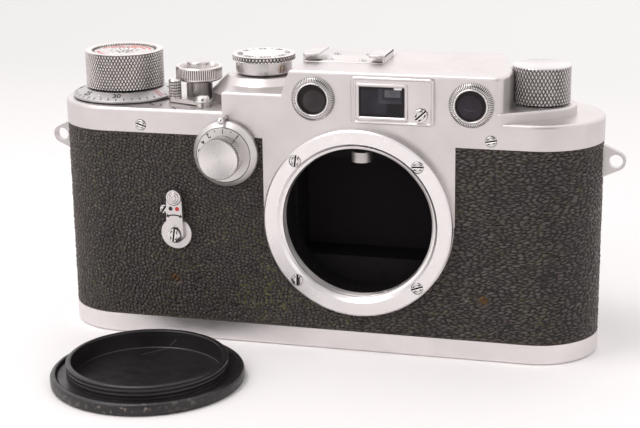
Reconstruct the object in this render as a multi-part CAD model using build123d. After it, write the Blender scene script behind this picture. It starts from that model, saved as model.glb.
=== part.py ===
from build123d import *
import math
import os

# A screw-mount rangefinder camera with its body cap beside it.
#
# Frame: +X to the rewind knob's end, the front faces -Y, +Z is up, and the origin is the middle
# of the base plate's underside. Millimetres. The camera is built up from a cast body shell with
# leather round it, a drawn top cover, a lens mount with its throat, the shutter's frame with drum,
# rollers and curtains, the film gate, the winding train, the rangefinder follower, and the base.

# Body: a stadium in plan, covered with leather between two metal plates
body_length = 136.7
body_thickness = 30.9
leather_thickness = 0.9
shell_wall = 1.4
base_height = 5.1
band_height = 48.0
cover_lip = 0.15
neck_height = 2.6

# Top cover
cover_wall = 0.9
deck_rise = 6.1
step_rise = 11.0
housing_rise = 17.1
cover_round = 0.9
housing_left = 18.9
housing_slope = 2.1
housing_right = 35.5
housing_back_right = 30.1
step_reach = 5.6
boss_radius = 13.1
boss_rise = 12.7
boss_slope_width = 4.1
boss_slope_drop = 4.0
facet_depth = 7.1
plateau_radius = 8.6
plateau_rise = 8.5
fit_gap = 0.05
run_gap = 0.05
loose_gap = 0.3

# Lens mount and throat
lens_x = 11.66
lens_z = 33.43
mount_radius = 23.3
mount_bore = 19.3
mount_stand = 2.6
mount_neck_radius = 20.6
mount_neck_depth = 4.0
mount_bevel = 0.6
mount_screw_circle = 21.25
mount_screw_radius = 1.45
mount_screw_length = 3.6
apron_left = 23.86
apron_right = 23.54
throat_wall = 0.9
throat_seat = 0.1
funnel_margin = 0.8
throat_depth = 11.2
flange_focal = 28.8
gate_width = 36.0
gate_height = 24.0
gate_side = 6.0
gate_edge = 5.4
rail_width = 1.2
pressure_margin = 3.0

# Shutter
plate_thickness = 1.2
plate_drop = 0.3
crate_side_left = 9.8
crate_side_right = 27.2
crate_low = 0.9
drum_radius = 6.0
drum_flange_radius = 6.9
drum_flange_thickness = 0.8
curtain_setback = 3.2
curtain_thickness = 0.3
curtain_gap = 0.9
lath_width = 1.5
spring_roller_radius = 2.2
spring_roller_pin = 0.9
spring_roller_setbacks = (6.6, 11.6)

# Winding side
wind_inset = 15.0
wind_knob_radius = 9.9
wind_knob_height = 9.1
wind_knob_lift = 2.7
wind_recess_radius = 8.9
wind_recess_depth = 0.7
reminder_radius = 7.6
wind_shaft_radius = 2.0
wind_bush_radius = 2.75
counter_radius = 13.4
counter_edge = 0.5
counter_rise = 1.5
counter_top_radius = 10.2
gear_teeth = 32
gear_spacing = 20.0
gear_thickness = 2.2
spool_core_radius = 5.4
spool_flange_radius = 9.6
sprocket_radius = 5.2
sprocket_tooth = 1.0
sprocket_teeth = 8
sprocket_shaft_radius = 2.2

# Release and advance selector
sleeve_radius = 3.3
sleeve_height = 4.9
collar_radius = 5.85
collar_height = 3.4
collar_recess_radius = 4.5
button_radius = 3.0
button_height = 2.3
button_travel = 2.2
stem_radius = 1.2
spring_wire = 0.22
selector_x = 4.0
selector_y = -9.5
selector_reach = 8.73
selector_angle = 159.9
selector_width = 3.4
selector_thickness = 1.0
pillar_radius = 1.6
pillar_height = 4.5
pivot_radius = 1.0

# Speed dials
dial_offset = 16.6
dial_y = 2.0
dial_radius = 7.9
dial_thickness = 1.35
dial_sleeve_radius = 7.0
dial_sleeve_height = 3.25
dial_spigot_radius = 3.0
dial_shaft_radius = 1.5
slow_x = -21.27
slow_z = 49.16
slow_radius = 8.1
slow_face_radius = 6.8
slow_thickness = 3.2
slow_knob_radius = 4.87
slow_knob_length = 4.8
slow_shaft_radius = 1.5
index_ball_radius = 0.95
index_pin_radius = 0.5
index_gap = 0.64
index_reach = 4.3

# Flash lever
flash_x = -34.85
flash_z = 28.0
flash_base_radius = 3.95
flash_base_thickness = 1.4
flash_lever_length = 9.5
flash_lever_width = 4.6
flash_lever_thickness = 1.1
flash_screw_radius = 1.7
flash_stop_x = -3.35
flash_stop_z = 5.8
flash_stop_radius = 1.15
flash_boss_radius = 1.7

# Rewind side
rewind_inset = 15.25
rewind_knob_radius = 7.0
rewind_knob_height = 9.0
rewind_shaft_radius = 1.9

# Windows, from the lens axis across and from the cover's lower edge up
window_rise = 10.3
window_left = -10.99
window_right = 27.19
window_glass_radius = 3.6
bezel_radius = 5.4
bezel_stand = 1.5
finder_left = -1.56
finder_right = 18.44
finder_low = 4.9
finder_high = 16.2
finder_stand = 1.0
finder_glass_left = 0.34
finder_glass_right = 11.54
finder_glass_low = 6.6
finder_glass_high = 14.0
finder_screw_x = 15.34
finder_screw_rise = 7.5
eyepiece_radius = 4.4
eyepiece_glass_radius = 2.9
eyepiece_stand = 2.0
eyepiece_neck_radius = 3.7
finder_eye_x = 6.4
range_eye_x = 16.6
sync_offset = -8.0
sync_radius = 2.2
sync_flange_radius = 3.3
sync_stand = 1.4
prism_size = 8.0

# Rangefinder follower
roller_x = 11.5
roller_setback = 7.2
roller_rise = 15.4
roller_radius = 2.48
roller_height = 2.5
follower_reach = 22.5
follower_width = 3.4
follower_thickness = 1.1
follower_shaft_radius = 1.5

# Accessory shoe
shoe_x = -6.36
shoe_y = 2.75
shoe_width = 20.5
shoe_length = 14.5
shoe_slot_width = 18.6
shoe_slot_height = 2.0
shoe_lip_gap = 12.5
shoe_lip = 0.6
shoe_sink = 0.5
shoe_screw_offset = 4.2
shoe_screw_radius = 1.2

# Strap lugs
lug_reach = 3.05
lug_z = 48.0
lug_hole_radius = 1.65
lug_end_radius = 2.3
lug_root_height = 7.9
lug_thickness = 1.8

# Base plate
base_floor = 1.3
base_wall = 1.3
key_radius = 8.4
key_flange_radius = 9.8
key_post_radius = 3.0
key_bar_length = 24.0
key_bar_width = 5.0
key_bar_lift = 6.1
handle_radius = 7.0
handle_pin_radius = 0.37
handle_mid = 0.63
bush_radius = 6.5
bush_bore = 3.175
bush_offset = 7.0
hook_width = 5.0
hook_rise = 1.9
hook_thickness = 1.1
hook_nose = 0.4
hook_slot_rise = 0.6

# Fasteners
cover_screw_x = 43.6
cover_screw_rise = 1.9
cover_screw_radius = 1.35
leather_screw_left = -36.1
leather_screw_right = 42.3
leather_screw_z = 15.5
leather_screw_radius = 1.1
thread_radius = 0.7

# Body cap
cap_x = -33.0
cap_y = -44.7
cap_radius = 23.0
cap_height = 3.0
cap_rim_width = 1.4
cap_step = 0.8
cap_ring_radius = 19.2
cap_ring_wall = 1.3
cap_ring_top = 5.8
cap_floor = 1.2

# Worked out from the above
half_length = body_length / 2
half_thickness = body_thickness / 2
shell_half_length = half_length - leather_thickness
shell_half_thickness = half_thickness - leather_thickness
cover_half_length = half_length + cover_lip
cover_half_thickness = half_thickness + cover_lip
front = -cover_half_thickness
inside_half_length = shell_half_length - shell_wall
inside_half_thickness = shell_half_thickness - shell_wall
cover_low = base_height + band_height
deck = cover_low + deck_rise
step_top = cover_low + step_rise
housing_top = cover_low + housing_rise
boss_top = cover_low + boss_rise
plateau_top = cover_low + plateau_rise
wind_x = -half_length + wind_inset
release_x = wind_x + gear_spacing
dial_x = release_x + dial_offset
rewind_x = half_length - rewind_inset
flange_y = front - mount_stand
film_y = flange_y + flange_focal
throat_front = -inside_half_thickness
throat_back = throat_front + throat_depth
plate_top = cover_low - plate_drop
plate_low = plate_top - plate_thickness
window_z = cover_low + window_rise
finder_x = lens_x + (finder_left + finder_right) / 2
spool_low = base_height + 2.4
roller_y = flange_y + roller_setback
roller_z = lens_z + roller_rise
follower_x = roller_x + follower_reach
follower_y = roller_y + 4.0
follower_low = roller_z + roller_height / 2 + 0.2
sync_socket_x = lens_x + sync_offset
index_z = slow_z + slow_radius + index_gap
curtain_y = film_y - curtain_setback
crate_left = dial_x - crate_side_left
crate_right = lens_x + crate_side_right
throat_outer = mount_neck_radius + throat_seat
throat_inner = throat_outer - throat_wall
bush_x = wind_x + bush_offset
knob_low = deck + wind_knob_lift
knob_high = knob_low + wind_knob_height
button_low = deck + sleeve_height + button_travel + 0.2


def block(x_low, x_high, y_low, y_high, z_low, z_high):
    """A box between two corners."""
    size = Box(x_high - x_low, y_high - y_low, z_high - z_low)
    return Pos((x_low + x_high) / 2, (y_low + y_high) / 2, (z_low + z_high) / 2) * size


def upright(radius, low, high, x=0.0, y=0.0):
    """A cylinder that stands along Z."""
    seat = (Align.CENTER, Align.CENTER, Align.MIN)
    return Pos(x, y, low) * Cylinder(radius, high - low, align=seat)


def forward(radius, back_y, front_y, x, z):
    """A cylinder along Y, from its back end to its front end."""
    seat = (Align.CENTER, Align.CENTER, Align.MIN)
    return Pos(x, back_y, z) * Rot(90, 0, 0) * Cylinder(radius, back_y - front_y, align=seat)


def turned(points):
    """A solid of revolution about Z from (radius, height) points."""
    return revolve(Plane.XZ * make_face(Polyline(*points, close=True)), Axis.Z)


def facing_front(solid, x, y, z):
    """Turns a solid made about +Z to face -Y and moves it into place."""
    return Pos(x, y, z) * Rot(90, 0, 0) * solid


def stadium(half_long, half_wide, low, high):
    """An upright prism with straight sides and half-round ends."""
    return Pos(0, 0, low) * extrude(SlotOverall(2 * half_long, 2 * half_wide), high - low)


def top_edges(solid):
    """The edges round a solid's highest flat face."""
    return solid.faces().sort_by(Axis.Z)[-1].edges()


def slotted_head(radius, height, slot_angle):
    """A round screw head that stands on z = 0, with a straight driver slot across it."""
    slot_width = 0.3 * radius
    slot_depth = 0.45 * height
    slot = Pos(0, 0, height) * Rot(0, 0, slot_angle) * Box(3 * radius, slot_width, 2 * slot_depth)
    return upright(radius, 0, height) - slot


def gear(teeth, pitch_radius, low, high, bore, turn=0.0):
    """A spur gear about Z with straight-flanked teeth and room for backlash."""
    pitch = 2 * math.pi / teeth
    module = 2 * pitch_radius / teeth
    root = pitch_radius - 1.2 * module
    tip = pitch_radius + 0.85 * module
    points = []
    for tooth in range(teeth):
        middle = tooth * pitch + math.radians(turn)
        for radius, share in ((root, -0.30), (tip, -0.12), (tip, 0.12), (root, 0.30)):
            angle = middle + share * pitch
            points.append((radius * math.cos(angle), radius * math.sin(angle)))
    blank = Pos(0, 0, low) * extrude(make_face(Polyline(*points, close=True)), high - low)
    return blank - upright(bore, low - 1, high + 1)


def housing_block(inset, low):
    """The tall optical housing: a plan with a raked right side, and a left end that leans in."""
    left = lens_x - housing_left + inset
    right = lens_x + housing_right - inset
    back_right = lens_x + housing_back_right - inset
    near = front + inset
    far = -front - inset
    top = housing_top - inset
    corner = right - 1.4
    outline = Polygon(
        (left, near),
        (corner, near),
        (right, near + 4.6),
        (right, near + 10.6),
        (back_right, far),
        (left, far),
        align=None,
    )
    outline = fillet(outline.vertices().filter_by(lambda v: v.X > corner - 0.1), 2.0)
    plan = Pos(0, 0, low) * extrude(outline, top - low)
    lean = Plane.XZ * make_face(
        Polyline(
            (left, low - 1), (left, step_top - inset), (left + housing_slope, top),
            (right + 5, top), (right + 5, low - 1), close=True
        )
    )
    return plan & extrude(lean, 2 * far, both=True)


def step_block(inset, low):
    """The middle step between the speed dial's boss and the housing."""
    left = dial_x - step_reach + inset
    right = lens_x - housing_left + 4.0
    return block(left, right, front + inset, -front - inset, low, step_top - inset)


def boss_block(inset, low):
    """The raised boss under the speed dial, with a straight flank to the step's front corner."""
    radius = boss_radius - inset
    top = boss_top - inset
    corner_x = dial_x - step_reach + inset
    corner_y = front + inset
    reach = math.hypot(corner_x - dial_x, corner_y - dial_y)
    bearing = math.atan2(corner_y - dial_y, corner_x - dial_x)
    spread = math.acos(radius / reach)
    tangent = bearing - spread
    flank = Polygon(
        (corner_x, corner_y),
        (dial_x + radius * math.cos(tangent), dial_y + radius * math.sin(tangent)),
        (dial_x, dial_y),
        (dial_x + radius, dial_y),
        (dial_x + radius, corner_y),
        align=None,
    )
    web = Pos(0, 0, low) * extrude(flank, step_top - inset - low)
    mound = turned([
        (0, low), (radius, low), (radius, top - boss_slope_drop), (radius - boss_slope_width, top), (0, top),
    ])
    plan = web + mound.moved(Location((dial_x, dial_y, 0)))
    return plan & block(-half_length, lens_x - housing_left + 3.0, corner_y, -corner_y, low, top)


def facet_cut():
    """The wedge above the slanted front of the boss."""
    drop = boss_top - step_top
    edge = front + facet_depth
    wedge = Plane.YZ * make_face(
        Polyline((edge, boss_top), (front - 1, step_top - drop / facet_depth), (front - 1, boss_top + 2),
                 (edge, boss_top + 2), close=True)
    )
    return extrude(wedge, 2 * half_length, both=True)


def plateau_block(inset, low):
    """The low plateau round the rewind shaft, run out to the housing's front and back corners."""
    radius = plateau_radius - inset
    top = plateau_top - inset
    start = lens_x + housing_right - 3.0
    points = [(start, front + inset), (start + 1.7, front + inset)]
    reach = math.hypot(start + 1.7 - rewind_x, front + inset)
    bearing = math.atan2(front + inset, start + 1.7 - rewind_x)
    angle = bearing + math.acos(radius / reach)
    points += [(rewind_x + radius * math.cos(angle), radius * math.sin(angle))]
    points += [(rewind_x + radius * math.cos(angle), -radius * math.sin(angle))]
    points += [(start - 3.0, -radius * math.sin(angle) - 3.0), (start - 3.0, front + inset)]
    web = Pos(0, 0, low) * extrude(Polygon(*points, align=None), top - low)
    return web + upright(radius, low, top, rewind_x, 0)


def mount_disc(radius, back_y, front_y):
    """A disc on the lens axis."""
    return forward(radius, back_y, front_y, lens_x, lens_z)


def apron_outline(grow, back_y, front_y):
    """The metal panel that runs down from the cover behind the lens mount."""
    left = lens_x - apron_left - grow
    right = lens_x + apron_right + grow
    panel = block(left, right, front_y, back_y, lens_z, cover_low + 0.2)
    return panel + mount_disc(mount_radius + 0.1 + grow, back_y, front_y)


def cover_screw_places():
    """The cover's side screws as (x, direction of the face)."""
    return [(x, face) for face in (-1, 1) for x in (-cover_screw_x, cover_screw_x)]


def window_places():
    """The rangefinder windows' centres along X."""
    return [lens_x + window_left, lens_x + window_right]


def eyepiece_places():
    """The eyepieces' centres along X."""
    return [lens_x + finder_eye_x, lens_x + range_eye_x]


def top_cover():
    """The drawn metal cover with its deck, step, housing, boss, plateau and apron."""
    deck_form = stadium(cover_half_length, cover_half_thickness, cover_low, deck)
    deck_form = fillet(top_edges(deck_form), cover_round)
    step_form = fillet(top_edges(step_block(0, cover_low)), 0.7)
    housing_form = fillet(top_edges(housing_block(0, cover_low)), cover_round)
    plateau_form = fillet(top_edges(plateau_block(0, cover_low + 1)), 0.6)
    boss_form = boss_block(0, cover_low + 1) - facet_cut()
    inside_low = cover_low - 1
    inner_length = cover_half_length - cover_wall
    inner_thickness = cover_half_thickness - cover_wall
    hollow = stadium(inner_length, inner_thickness, inside_low, deck - cover_wall)
    hollow += step_block(cover_wall, inside_low)
    hollow += housing_block(cover_wall, inside_low)
    hollow += boss_block(cover_wall, inside_low) - facet_cut().moved(Location((0, 0, -cover_wall)))
    hollow += plateau_block(cover_wall, inside_low)
    cover = deck_form + step_form + housing_form + boss_form + plateau_form - hollow
    cover += apron_outline(0, front + cover_wall, front)
    cover -= mount_disc(mount_neck_radius + fit_gap, front + 3, front - 1)
    shaft_holes = (
        (wind_x, wind_bush_radius + 0.15),
        (release_x, sleeve_radius - 0.9),
        (rewind_x, rewind_shaft_radius + run_gap),
    )
    for x, radius in shaft_holes:
        cover -= upright(radius, deck - 3, housing_top, x, 0)
    cover -= upright(dial_shaft_radius + run_gap, deck, housing_top, dial_x, dial_y)
    cover -= upright(thread_radius + fit_gap, deck - 3, deck + 1, release_x + selector_x, selector_y)
    for x, face in cover_screw_places():
        hole = forward(cover_screw_radius + fit_gap, 1.5, -1.5, x, cover_low + cover_screw_rise)
        cover -= hole.moved(Location((0, face * (cover_half_thickness - cover_wall / 2), 0)))
    for x in window_places():
        cover -= forward(window_glass_radius + fit_gap, front + 2, front - 1, x, window_z)
    cover -= finder_opening(0.4, front - 1, front + 2)
    finder_screw_z = cover_low + finder_screw_rise
    cover -= forward(thread_radius + fit_gap, front + 2, front - 1, lens_x + finder_screw_x, finder_screw_z)
    for x in eyepiece_places():
        cover -= forward(eyepiece_neck_radius + fit_gap, -front + 1, -front - 2, x, window_z)
    cover -= forward(sync_radius + fit_gap, -front + 1, -front - 2, sync_socket_x, window_z)
    shoe_left = lens_x + shoe_x - shoe_width / 2
    shoe_near = shoe_y - shoe_length / 2
    cover -= block(shoe_left - fit_gap, shoe_left + shoe_width + fit_gap, shoe_near - fit_gap,
                   shoe_near + shoe_length + fit_gap, housing_top - shoe_sink, housing_top + 1)
    for x, y in shoe_screw_places():
        cover -= upright(thread_radius + fit_gap, housing_top - 2, housing_top, x, y)
    for x, z in mount_screw_places():
        cover -= forward(thread_radius + fit_gap, front + 3, front - 1, x, z)
    cover -= slow_clearance(front + 3)
    cover -= forward(index_pin_radius + fit_gap, front + 2, front - 1, slow_x, index_z)
    return cover


def slow_clearance(back_y):
    """The hole that the slow dial's shaft runs in, level with the cover's lower edge."""
    return forward(slow_shaft_radius + run_gap, back_y, front - 1, slow_x, slow_z)


def finder_opening(grow, near_y, far_y):
    """A straight-through window of the finder's glass size."""
    left = lens_x + finder_glass_left - grow
    right = lens_x + finder_glass_right + grow
    low = cover_low + finder_glass_low - grow
    high = cover_low + finder_glass_high + grow
    return block(left, right, near_y, far_y, low, high)


def body_shell():
    """The cast body: a closed stadium wall that is open below for loading film."""
    top = cover_low + neck_height
    shell = stadium(shell_half_length, shell_half_thickness, base_height, top)
    shell -= stadium(inside_half_length, inside_half_thickness, base_height - 1, top + 1)
    shell -= mount_disc(throat_outer, -shell_half_thickness + 3, front - 1)
    shell -= slow_clearance(-shell_half_thickness + 3)
    shell -= forward(index_pin_radius + fit_gap, -shell_half_thickness + 3, front - 1, slow_x, index_z)
    for x, z in front_screw_places():
        shell -= forward(thread_radius + fit_gap, -shell_half_thickness + 3, front - 1, x, z)
    for x, face in cover_screw_places():
        hole = forward(thread_radius + fit_gap, 2, -2, x, cover_low + cover_screw_rise)
        shell -= hole.moved(Location((0, face * (shell_half_thickness - shell_wall / 2), 0)))
    for x, z in mount_screw_places():
        shell -= forward(thread_radius + fit_gap, -shell_half_thickness + 3, front - 1, x, z)
    for side in (-1, 1):
        shell -= lug_slot(side)
    slot_low = base_height + hook_slot_rise
    slot_high = base_height + hook_rise + hook_thickness + 0.4
    half_slot = hook_width / 2 + 0.2
    slot_left = 0.2 - shell_half_length
    slot_right = 1 - inside_half_length
    return shell - block(slot_left, slot_right, -half_slot, half_slot, slot_low, slot_high)


def front_screw_places():
    """Screws through the leather: two brass ones and the flash lever's two."""
    return [
        (leather_screw_left, leather_screw_z),
        (leather_screw_right, leather_screw_z),
        (flash_x, flash_z),
        (flash_x + flash_stop_x, flash_z + flash_stop_z),
    ]


def mount_screw_places():
    """The four screws of the lens mount, on the diagonals."""
    return [
        (lens_x + mount_screw_circle * math.cos(math.radians(angle)),
         lens_z + mount_screw_circle * math.sin(math.radians(angle)))
        for angle in (45, 135, 225, 315)
    ]


def lug_slot(side):
    """The slot in the body's end that a strap lug's root passes through."""
    half_wide = lug_thickness / 2 + fit_gap
    half_high = lug_root_height / 2 + fit_gap
    near = inside_half_length - 1
    slot = block(near, half_length + 1, -half_wide, half_wide, lug_z - half_high, lug_z + half_high)
    return slot if side > 0 else slot.rotate(Axis.Z, 180)


def leather_cover():
    """The covering, with cut-outs for the apron, lens mount, dial, screws and lugs."""
    cover = stadium(half_length, half_thickness, base_height, cover_low)
    cover -= stadium(shell_half_length, shell_half_thickness, base_height - 1, cover_low + 1)
    cover -= apron_outline(fit_gap, -shell_half_thickness + 4, front - 1)
    cover -= slow_clearance(-shell_half_thickness + 3)
    for x, z in front_screw_places()[:2]:
        cover -= forward(leather_screw_radius + 0.15, -shell_half_thickness + 3, front - 1, x, z)
    for x, z in front_screw_places()[2:]:
        cover -= forward(thread_radius + fit_gap, -shell_half_thickness + 3, front - 1, x, z)
    for side in (-1, 1):
        cover -= lug_slot(side)
    return cover


def lens_mount_ring():
    """The screwed lens flange with its threaded bore and neck."""
    ring = turned([
        (mount_bore, -mount_neck_depth + mount_stand),
        (mount_neck_radius, -mount_neck_depth + mount_stand),
        (mount_neck_radius, 0),
        (mount_radius, 0),
        (mount_radius, mount_stand - 0.4),
        (mount_radius - 0.4, mount_stand),
        (mount_bore + mount_bevel, mount_stand),
        (mount_bore, mount_stand - mount_bevel),
    ])
    ring = facing_front(ring, lens_x, front, lens_z)
    for x, z in mount_screw_places():
        ring -= forward(mount_screw_radius + fit_gap, flange_y + 1.0, flange_y - 1, x, z)
        ring -= forward(thread_radius + fit_gap, front + 3, flange_y, x, z)
    return ring


def screw(radius, height, shank, slot_angle, x, y, z):
    """A screw that enters along +Y: y is where its head ends and its shank starts."""
    body = slotted_head(radius, height, slot_angle) + upright(thread_radius, -shank, 0)
    return facing_front(body, x, y, z)


def lens_mount_screws():
    """Four countersunk screws, each slot at its own angle."""
    screws = []
    for (x, z), angle in zip(mount_screw_places(), (65, 115, 20, 150)):
        screws.append(screw(mount_screw_radius, 0.95, mount_screw_length, angle, x, flange_y + 1.0, z))
    return Compound(screws)


def light_box():
    """The throat: a round tunnel behind the mount that narrows to the film gate."""
    near = throat_front + 0.1
    far = curtain_y - funnel_margin
    box = mount_disc(throat_outer, throat_back, near)
    box += funnel(throat_wall)
    box -= mount_disc(throat_inner, throat_back - 1.0, throat_front - 1)
    box -= funnel(0)
    gap_left = roller_x - roller_radius - 1.2
    gap_low = roller_z - roller_height / 2 - 0.6
    box -= block(gap_left, follower_x + 4, throat_front - 1, follower_y + 3.2, gap_low, plate_low + 1)
    return box & block(-half_length, half_length, near, far, base_height + 2, plate_low - 0.1)


def funnel(grow):
    """The square tunnel from the throat to the curtains."""
    wide = gate_width / 2 + funnel_margin + grow
    high = gate_height / 2 + funnel_margin + grow
    far = curtain_y - funnel_margin
    return block(lens_x - wide, lens_x + wide, throat_back - 1.5, far, lens_z - high, lens_z + high)


def shutter_crate():
    """The frame that carries the shutter: top and bottom plates joined by two end walls."""
    crate = stadium(inside_half_length - 0.15, inside_half_thickness - 0.15, plate_low, plate_top)
    low = base_height + crate_low
    deep = inside_half_thickness - 0.2
    crate += block(crate_left, crate_right, -deep, film_y - 1.8, low, low + plate_thickness)
    for x in (crate_left, crate_right - plate_thickness):
        crate += block(x, x + plate_thickness, -deep, film_y - 1.8, low, plate_low)
    crate -= upright(wind_shaft_radius + run_gap, low, plate_top + 1, wind_x, 0)
    crate -= upright(sprocket_shaft_radius + run_gap, plate_low - 1, plate_top + 1, release_x, 0)
    crate -= upright(dial_shaft_radius + run_gap, low - 1, plate_top + 1, dial_x, dial_y)
    crate -= upright(rewind_shaft_radius + run_gap, plate_low - 1, plate_top + 1, rewind_x, 0)
    crate -= upright(follower_shaft_radius + run_gap, plate_low - 1, plate_top + 1, follower_x, follower_y)
    crate -= mount_disc(throat_outer + 0.1, throat_back + 5, front)
    for x, y in roller_places():
        crate -= upright(spring_roller_pin + run_gap, low, plate_top + 1, x, y)
    crate -= slow_clearance(0)
    return crate


def roller_places():
    """The two spring rollers that take up the curtains."""
    x = crate_right - plate_thickness - spring_roller_radius - 0.6
    return [(x, film_y - setback) for setback in spring_roller_setbacks]


def shutter_drum():
    """The winding drum under the speed dial, with a flange at each end."""
    low = base_height + crate_low + plate_thickness + 0.3
    high = plate_low - 0.3
    drum = upright(drum_radius, low, high, dial_x, dial_y)
    for z in (low, high - drum_flange_thickness):
        drum += upright(drum_flange_radius, z, z + drum_flange_thickness, dial_x, dial_y)
    return drum - upright(dial_shaft_radius + fit_gap, low - 1, high + 1, dial_x, dial_y)


def spring_rollers():
    """Two slim rollers on pins, one for each curtain."""
    low = base_height + crate_low + plate_thickness + 0.3
    rollers = []
    for x, y in roller_places():
        pin = upright(spring_roller_pin, low - 1.0, plate_top - 0.2, x, y)
        rollers.append(pin + upright(spring_roller_radius, low, plate_low - 0.3, x, y))
    return Compound(rollers)


def curtain(y, left, right, lath_x):
    """A flat cloth curtain with a stiff lath along its free edge."""
    low = lens_z - gate_height / 2 - 2
    high = lens_z + gate_height / 2 + 2
    cloth = block(left, right, y, y + curtain_thickness, low, high)
    near = y - curtain_thickness / 2
    return cloth + block(lath_x, lath_x + lath_width, near, near + 2 * curtain_thickness, low, high)


def front_curtain():
    """The opening curtain, run off to the spring rollers' side."""
    left = lens_x + gate_width / 2 + 1.0
    right = crate_right - plate_thickness - 0.5
    return curtain(curtain_y + curtain_gap, left, right, left)


def rear_curtain():
    """The closing curtain, which covers the gate at rest."""
    left = dial_x + drum_flange_radius + 0.4
    right = lens_x + gate_width / 2 + 0.9
    return curtain(curtain_y, left, right, right - lath_width)


def film_gate():
    """The plate with the picture window and the film's rails, cut back to clear the drum."""
    wide = gate_width / 2 + gate_side
    high = gate_height / 2 + gate_edge
    left = lens_x - wide
    right = lens_x + wide
    gate = block(left, right, film_y - 1.7, film_y - 0.5, lens_z - high, lens_z + high)
    inner = gate_height / 2 + 0.8
    for offset in (-high, -inner - rail_width, inner, high - 1.5):
        low = lens_z + offset
        gate += block(left, right, film_y - 0.6, film_y - 0.1, low, low + rail_width)
    window_x = gate_width / 2
    window_z_half = gate_height / 2
    gate -= block(lens_x - window_x, lens_x + window_x, film_y - 3, film_y + 1,
                  lens_z - window_z_half, lens_z + window_z_half)
    return gate - upright(drum_flange_radius + loose_gap, 0, deck, dial_x, dial_y)


def pressure_plate():
    """The plate that holds the film flat, with a leaf spring to the back wall."""
    wide = gate_width / 2 + pressure_margin
    high = gate_height / 2 + pressure_margin
    back = inside_half_thickness - 0.1
    plate = block(lens_x - wide, lens_x + wide, film_y + 0.2, film_y + 1.0, lens_z - high, lens_z + high)
    for z in (lens_z - 8, lens_z + 8):
        plate += block(lens_x - 1.5, lens_x + 1.5, film_y + 0.9, back, z - 2, z + 2)
    return plate


def wind_shaft():
    """The winding shaft with its gear, from the spool to the knob."""
    low = plate_top + 0.3
    shaft = upright(wind_shaft_radius, plate_low - 5.5, knob_high - 2.6, wind_x, 0)
    wheel = gear(gear_teeth, gear_spacing / 2, low, low + gear_thickness, wind_shaft_radius - 0.2)
    return shaft + wheel.moved(Location((wind_x, 0, 0)))


def wind_knob():
    """The winding knob: a knurled drum with a recessed top."""
    bore = wind_shaft_radius + fit_gap
    ledge = knob_high - wind_recess_depth
    knob = turned([
        (bore, knob_low),
        (wind_knob_radius - 0.5, knob_low),
        (wind_knob_radius, knob_low + 0.5),
        (wind_knob_radius, knob_high - 0.8),
        (wind_knob_radius - 0.7, knob_high),
        (wind_recess_radius, knob_high),
        (wind_recess_radius, ledge),
        (reminder_radius + 0.1, ledge),
        (reminder_radius + 0.1, ledge - 1.0),
        (bore, ledge - 1.0),
    ])
    return knob.moved(Location((wind_x, 0, 0)))


def reminder_disc():
    """The film reminder disc set into the winding knob."""
    low = knob_high - wind_recess_depth - 1.0
    disc = upright(reminder_radius, low + 0.05, low + 0.95, wind_x, 0)
    return disc - upright(1.3, low - 1, low + 2, wind_x, 0)


def wind_hub_screw():
    """The slotted screw at the middle of the winding knob."""
    low = knob_high - wind_recess_depth
    return Pos(wind_x, 0, low) * (slotted_head(2.25, 0.65, 20) + upright(1.2, -0.8, 0))


def counter_disc():
    """The frame counter: a thin disc whose scale slopes up to the knob."""
    low = deck + loose_gap
    high = low + counter_edge + counter_rise
    bore = wind_bush_radius + run_gap
    disc = turned([
        (bore, low),
        (counter_radius, low),
        (counter_radius, low + counter_edge),
        (counter_top_radius, high),
        (bore, high),
    ])
    return disc.moved(Location((wind_x, 0, 0)))


def wind_bush():
    """The bush in the deck that the winding shaft runs in and the counter disc turns on."""
    high = deck + loose_gap + counter_edge + counter_rise
    bush = upright(wind_bush_radius, deck - cover_wall - 1.6, high, wind_x, 0)
    return bush - upright(wind_shaft_radius + run_gap, deck - 5, deck + 5, wind_x, 0)


def take_up_spool():
    """The spool that the film winds onto, with two flanges and a clip slot."""
    high = plate_low - 0.6
    spool = upright(spool_core_radius, spool_low, high, wind_x, 0)
    for z in (spool_low, high - 1.2):
        spool += upright(spool_flange_radius, z, z + 1.2, wind_x, 0)
    spool -= upright(wind_shaft_radius + run_gap, high - 6, high + 1, wind_x, 0)
    slot_back = 1.6 - spool_core_radius
    return spool - block(wind_x - 0.6, wind_x + 0.6, slot_back - 2.6, slot_back, spool_low + 4, high - 6)


def sprocket_shaft():
    """The film sprocket: eight teeth at each end of a hollow roll, and its gear on top."""
    low = base_height + 4.0
    high = plate_low - 3.0
    roll = upright(sprocket_radius - 1.4, low, high, release_x, 0)
    for z in (low + 1.5, high - 4.5):
        roll += upright(sprocket_radius, z, z + 3.0, release_x, 0)
        for tooth in range(sprocket_teeth):
            spike = Pos(sprocket_radius, 0, z + 1.5) * Box(2 * sprocket_tooth, 1.2, 1.6)
            roll += Pos(release_x, 0, 0) * Rot(0, 0, 360 / sprocket_teeth * tooth) * spike
    wheel_low = plate_top + 0.3
    roll += upright(sprocket_shaft_radius, high, wheel_low, release_x, 0)
    wheel = gear(gear_teeth, gear_spacing / 2, wheel_low, wheel_low + gear_thickness, 0.5, 180 / gear_teeth)
    roll += wheel.moved(Location((release_x, 0, 0)))
    return roll - upright(stem_radius + 0.1, high - 4, wheel_low + 4, release_x, 0)


def release_sleeve():
    """The threaded sleeve that guides the release button."""
    high = deck + sleeve_height
    sleeve = upright(sleeve_radius, deck, high, release_x, 0)
    sleeve += upright(sleeve_radius - 0.9 - fit_gap, deck - cover_wall - 0.8, deck, release_x, 0)
    sleeve -= upright(stem_radius + run_gap, deck - 5, high + 1, release_x, 0)
    return sleeve - upright(stem_radius + 0.9, deck + 0.6, high + 1, release_x, 0)


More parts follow.
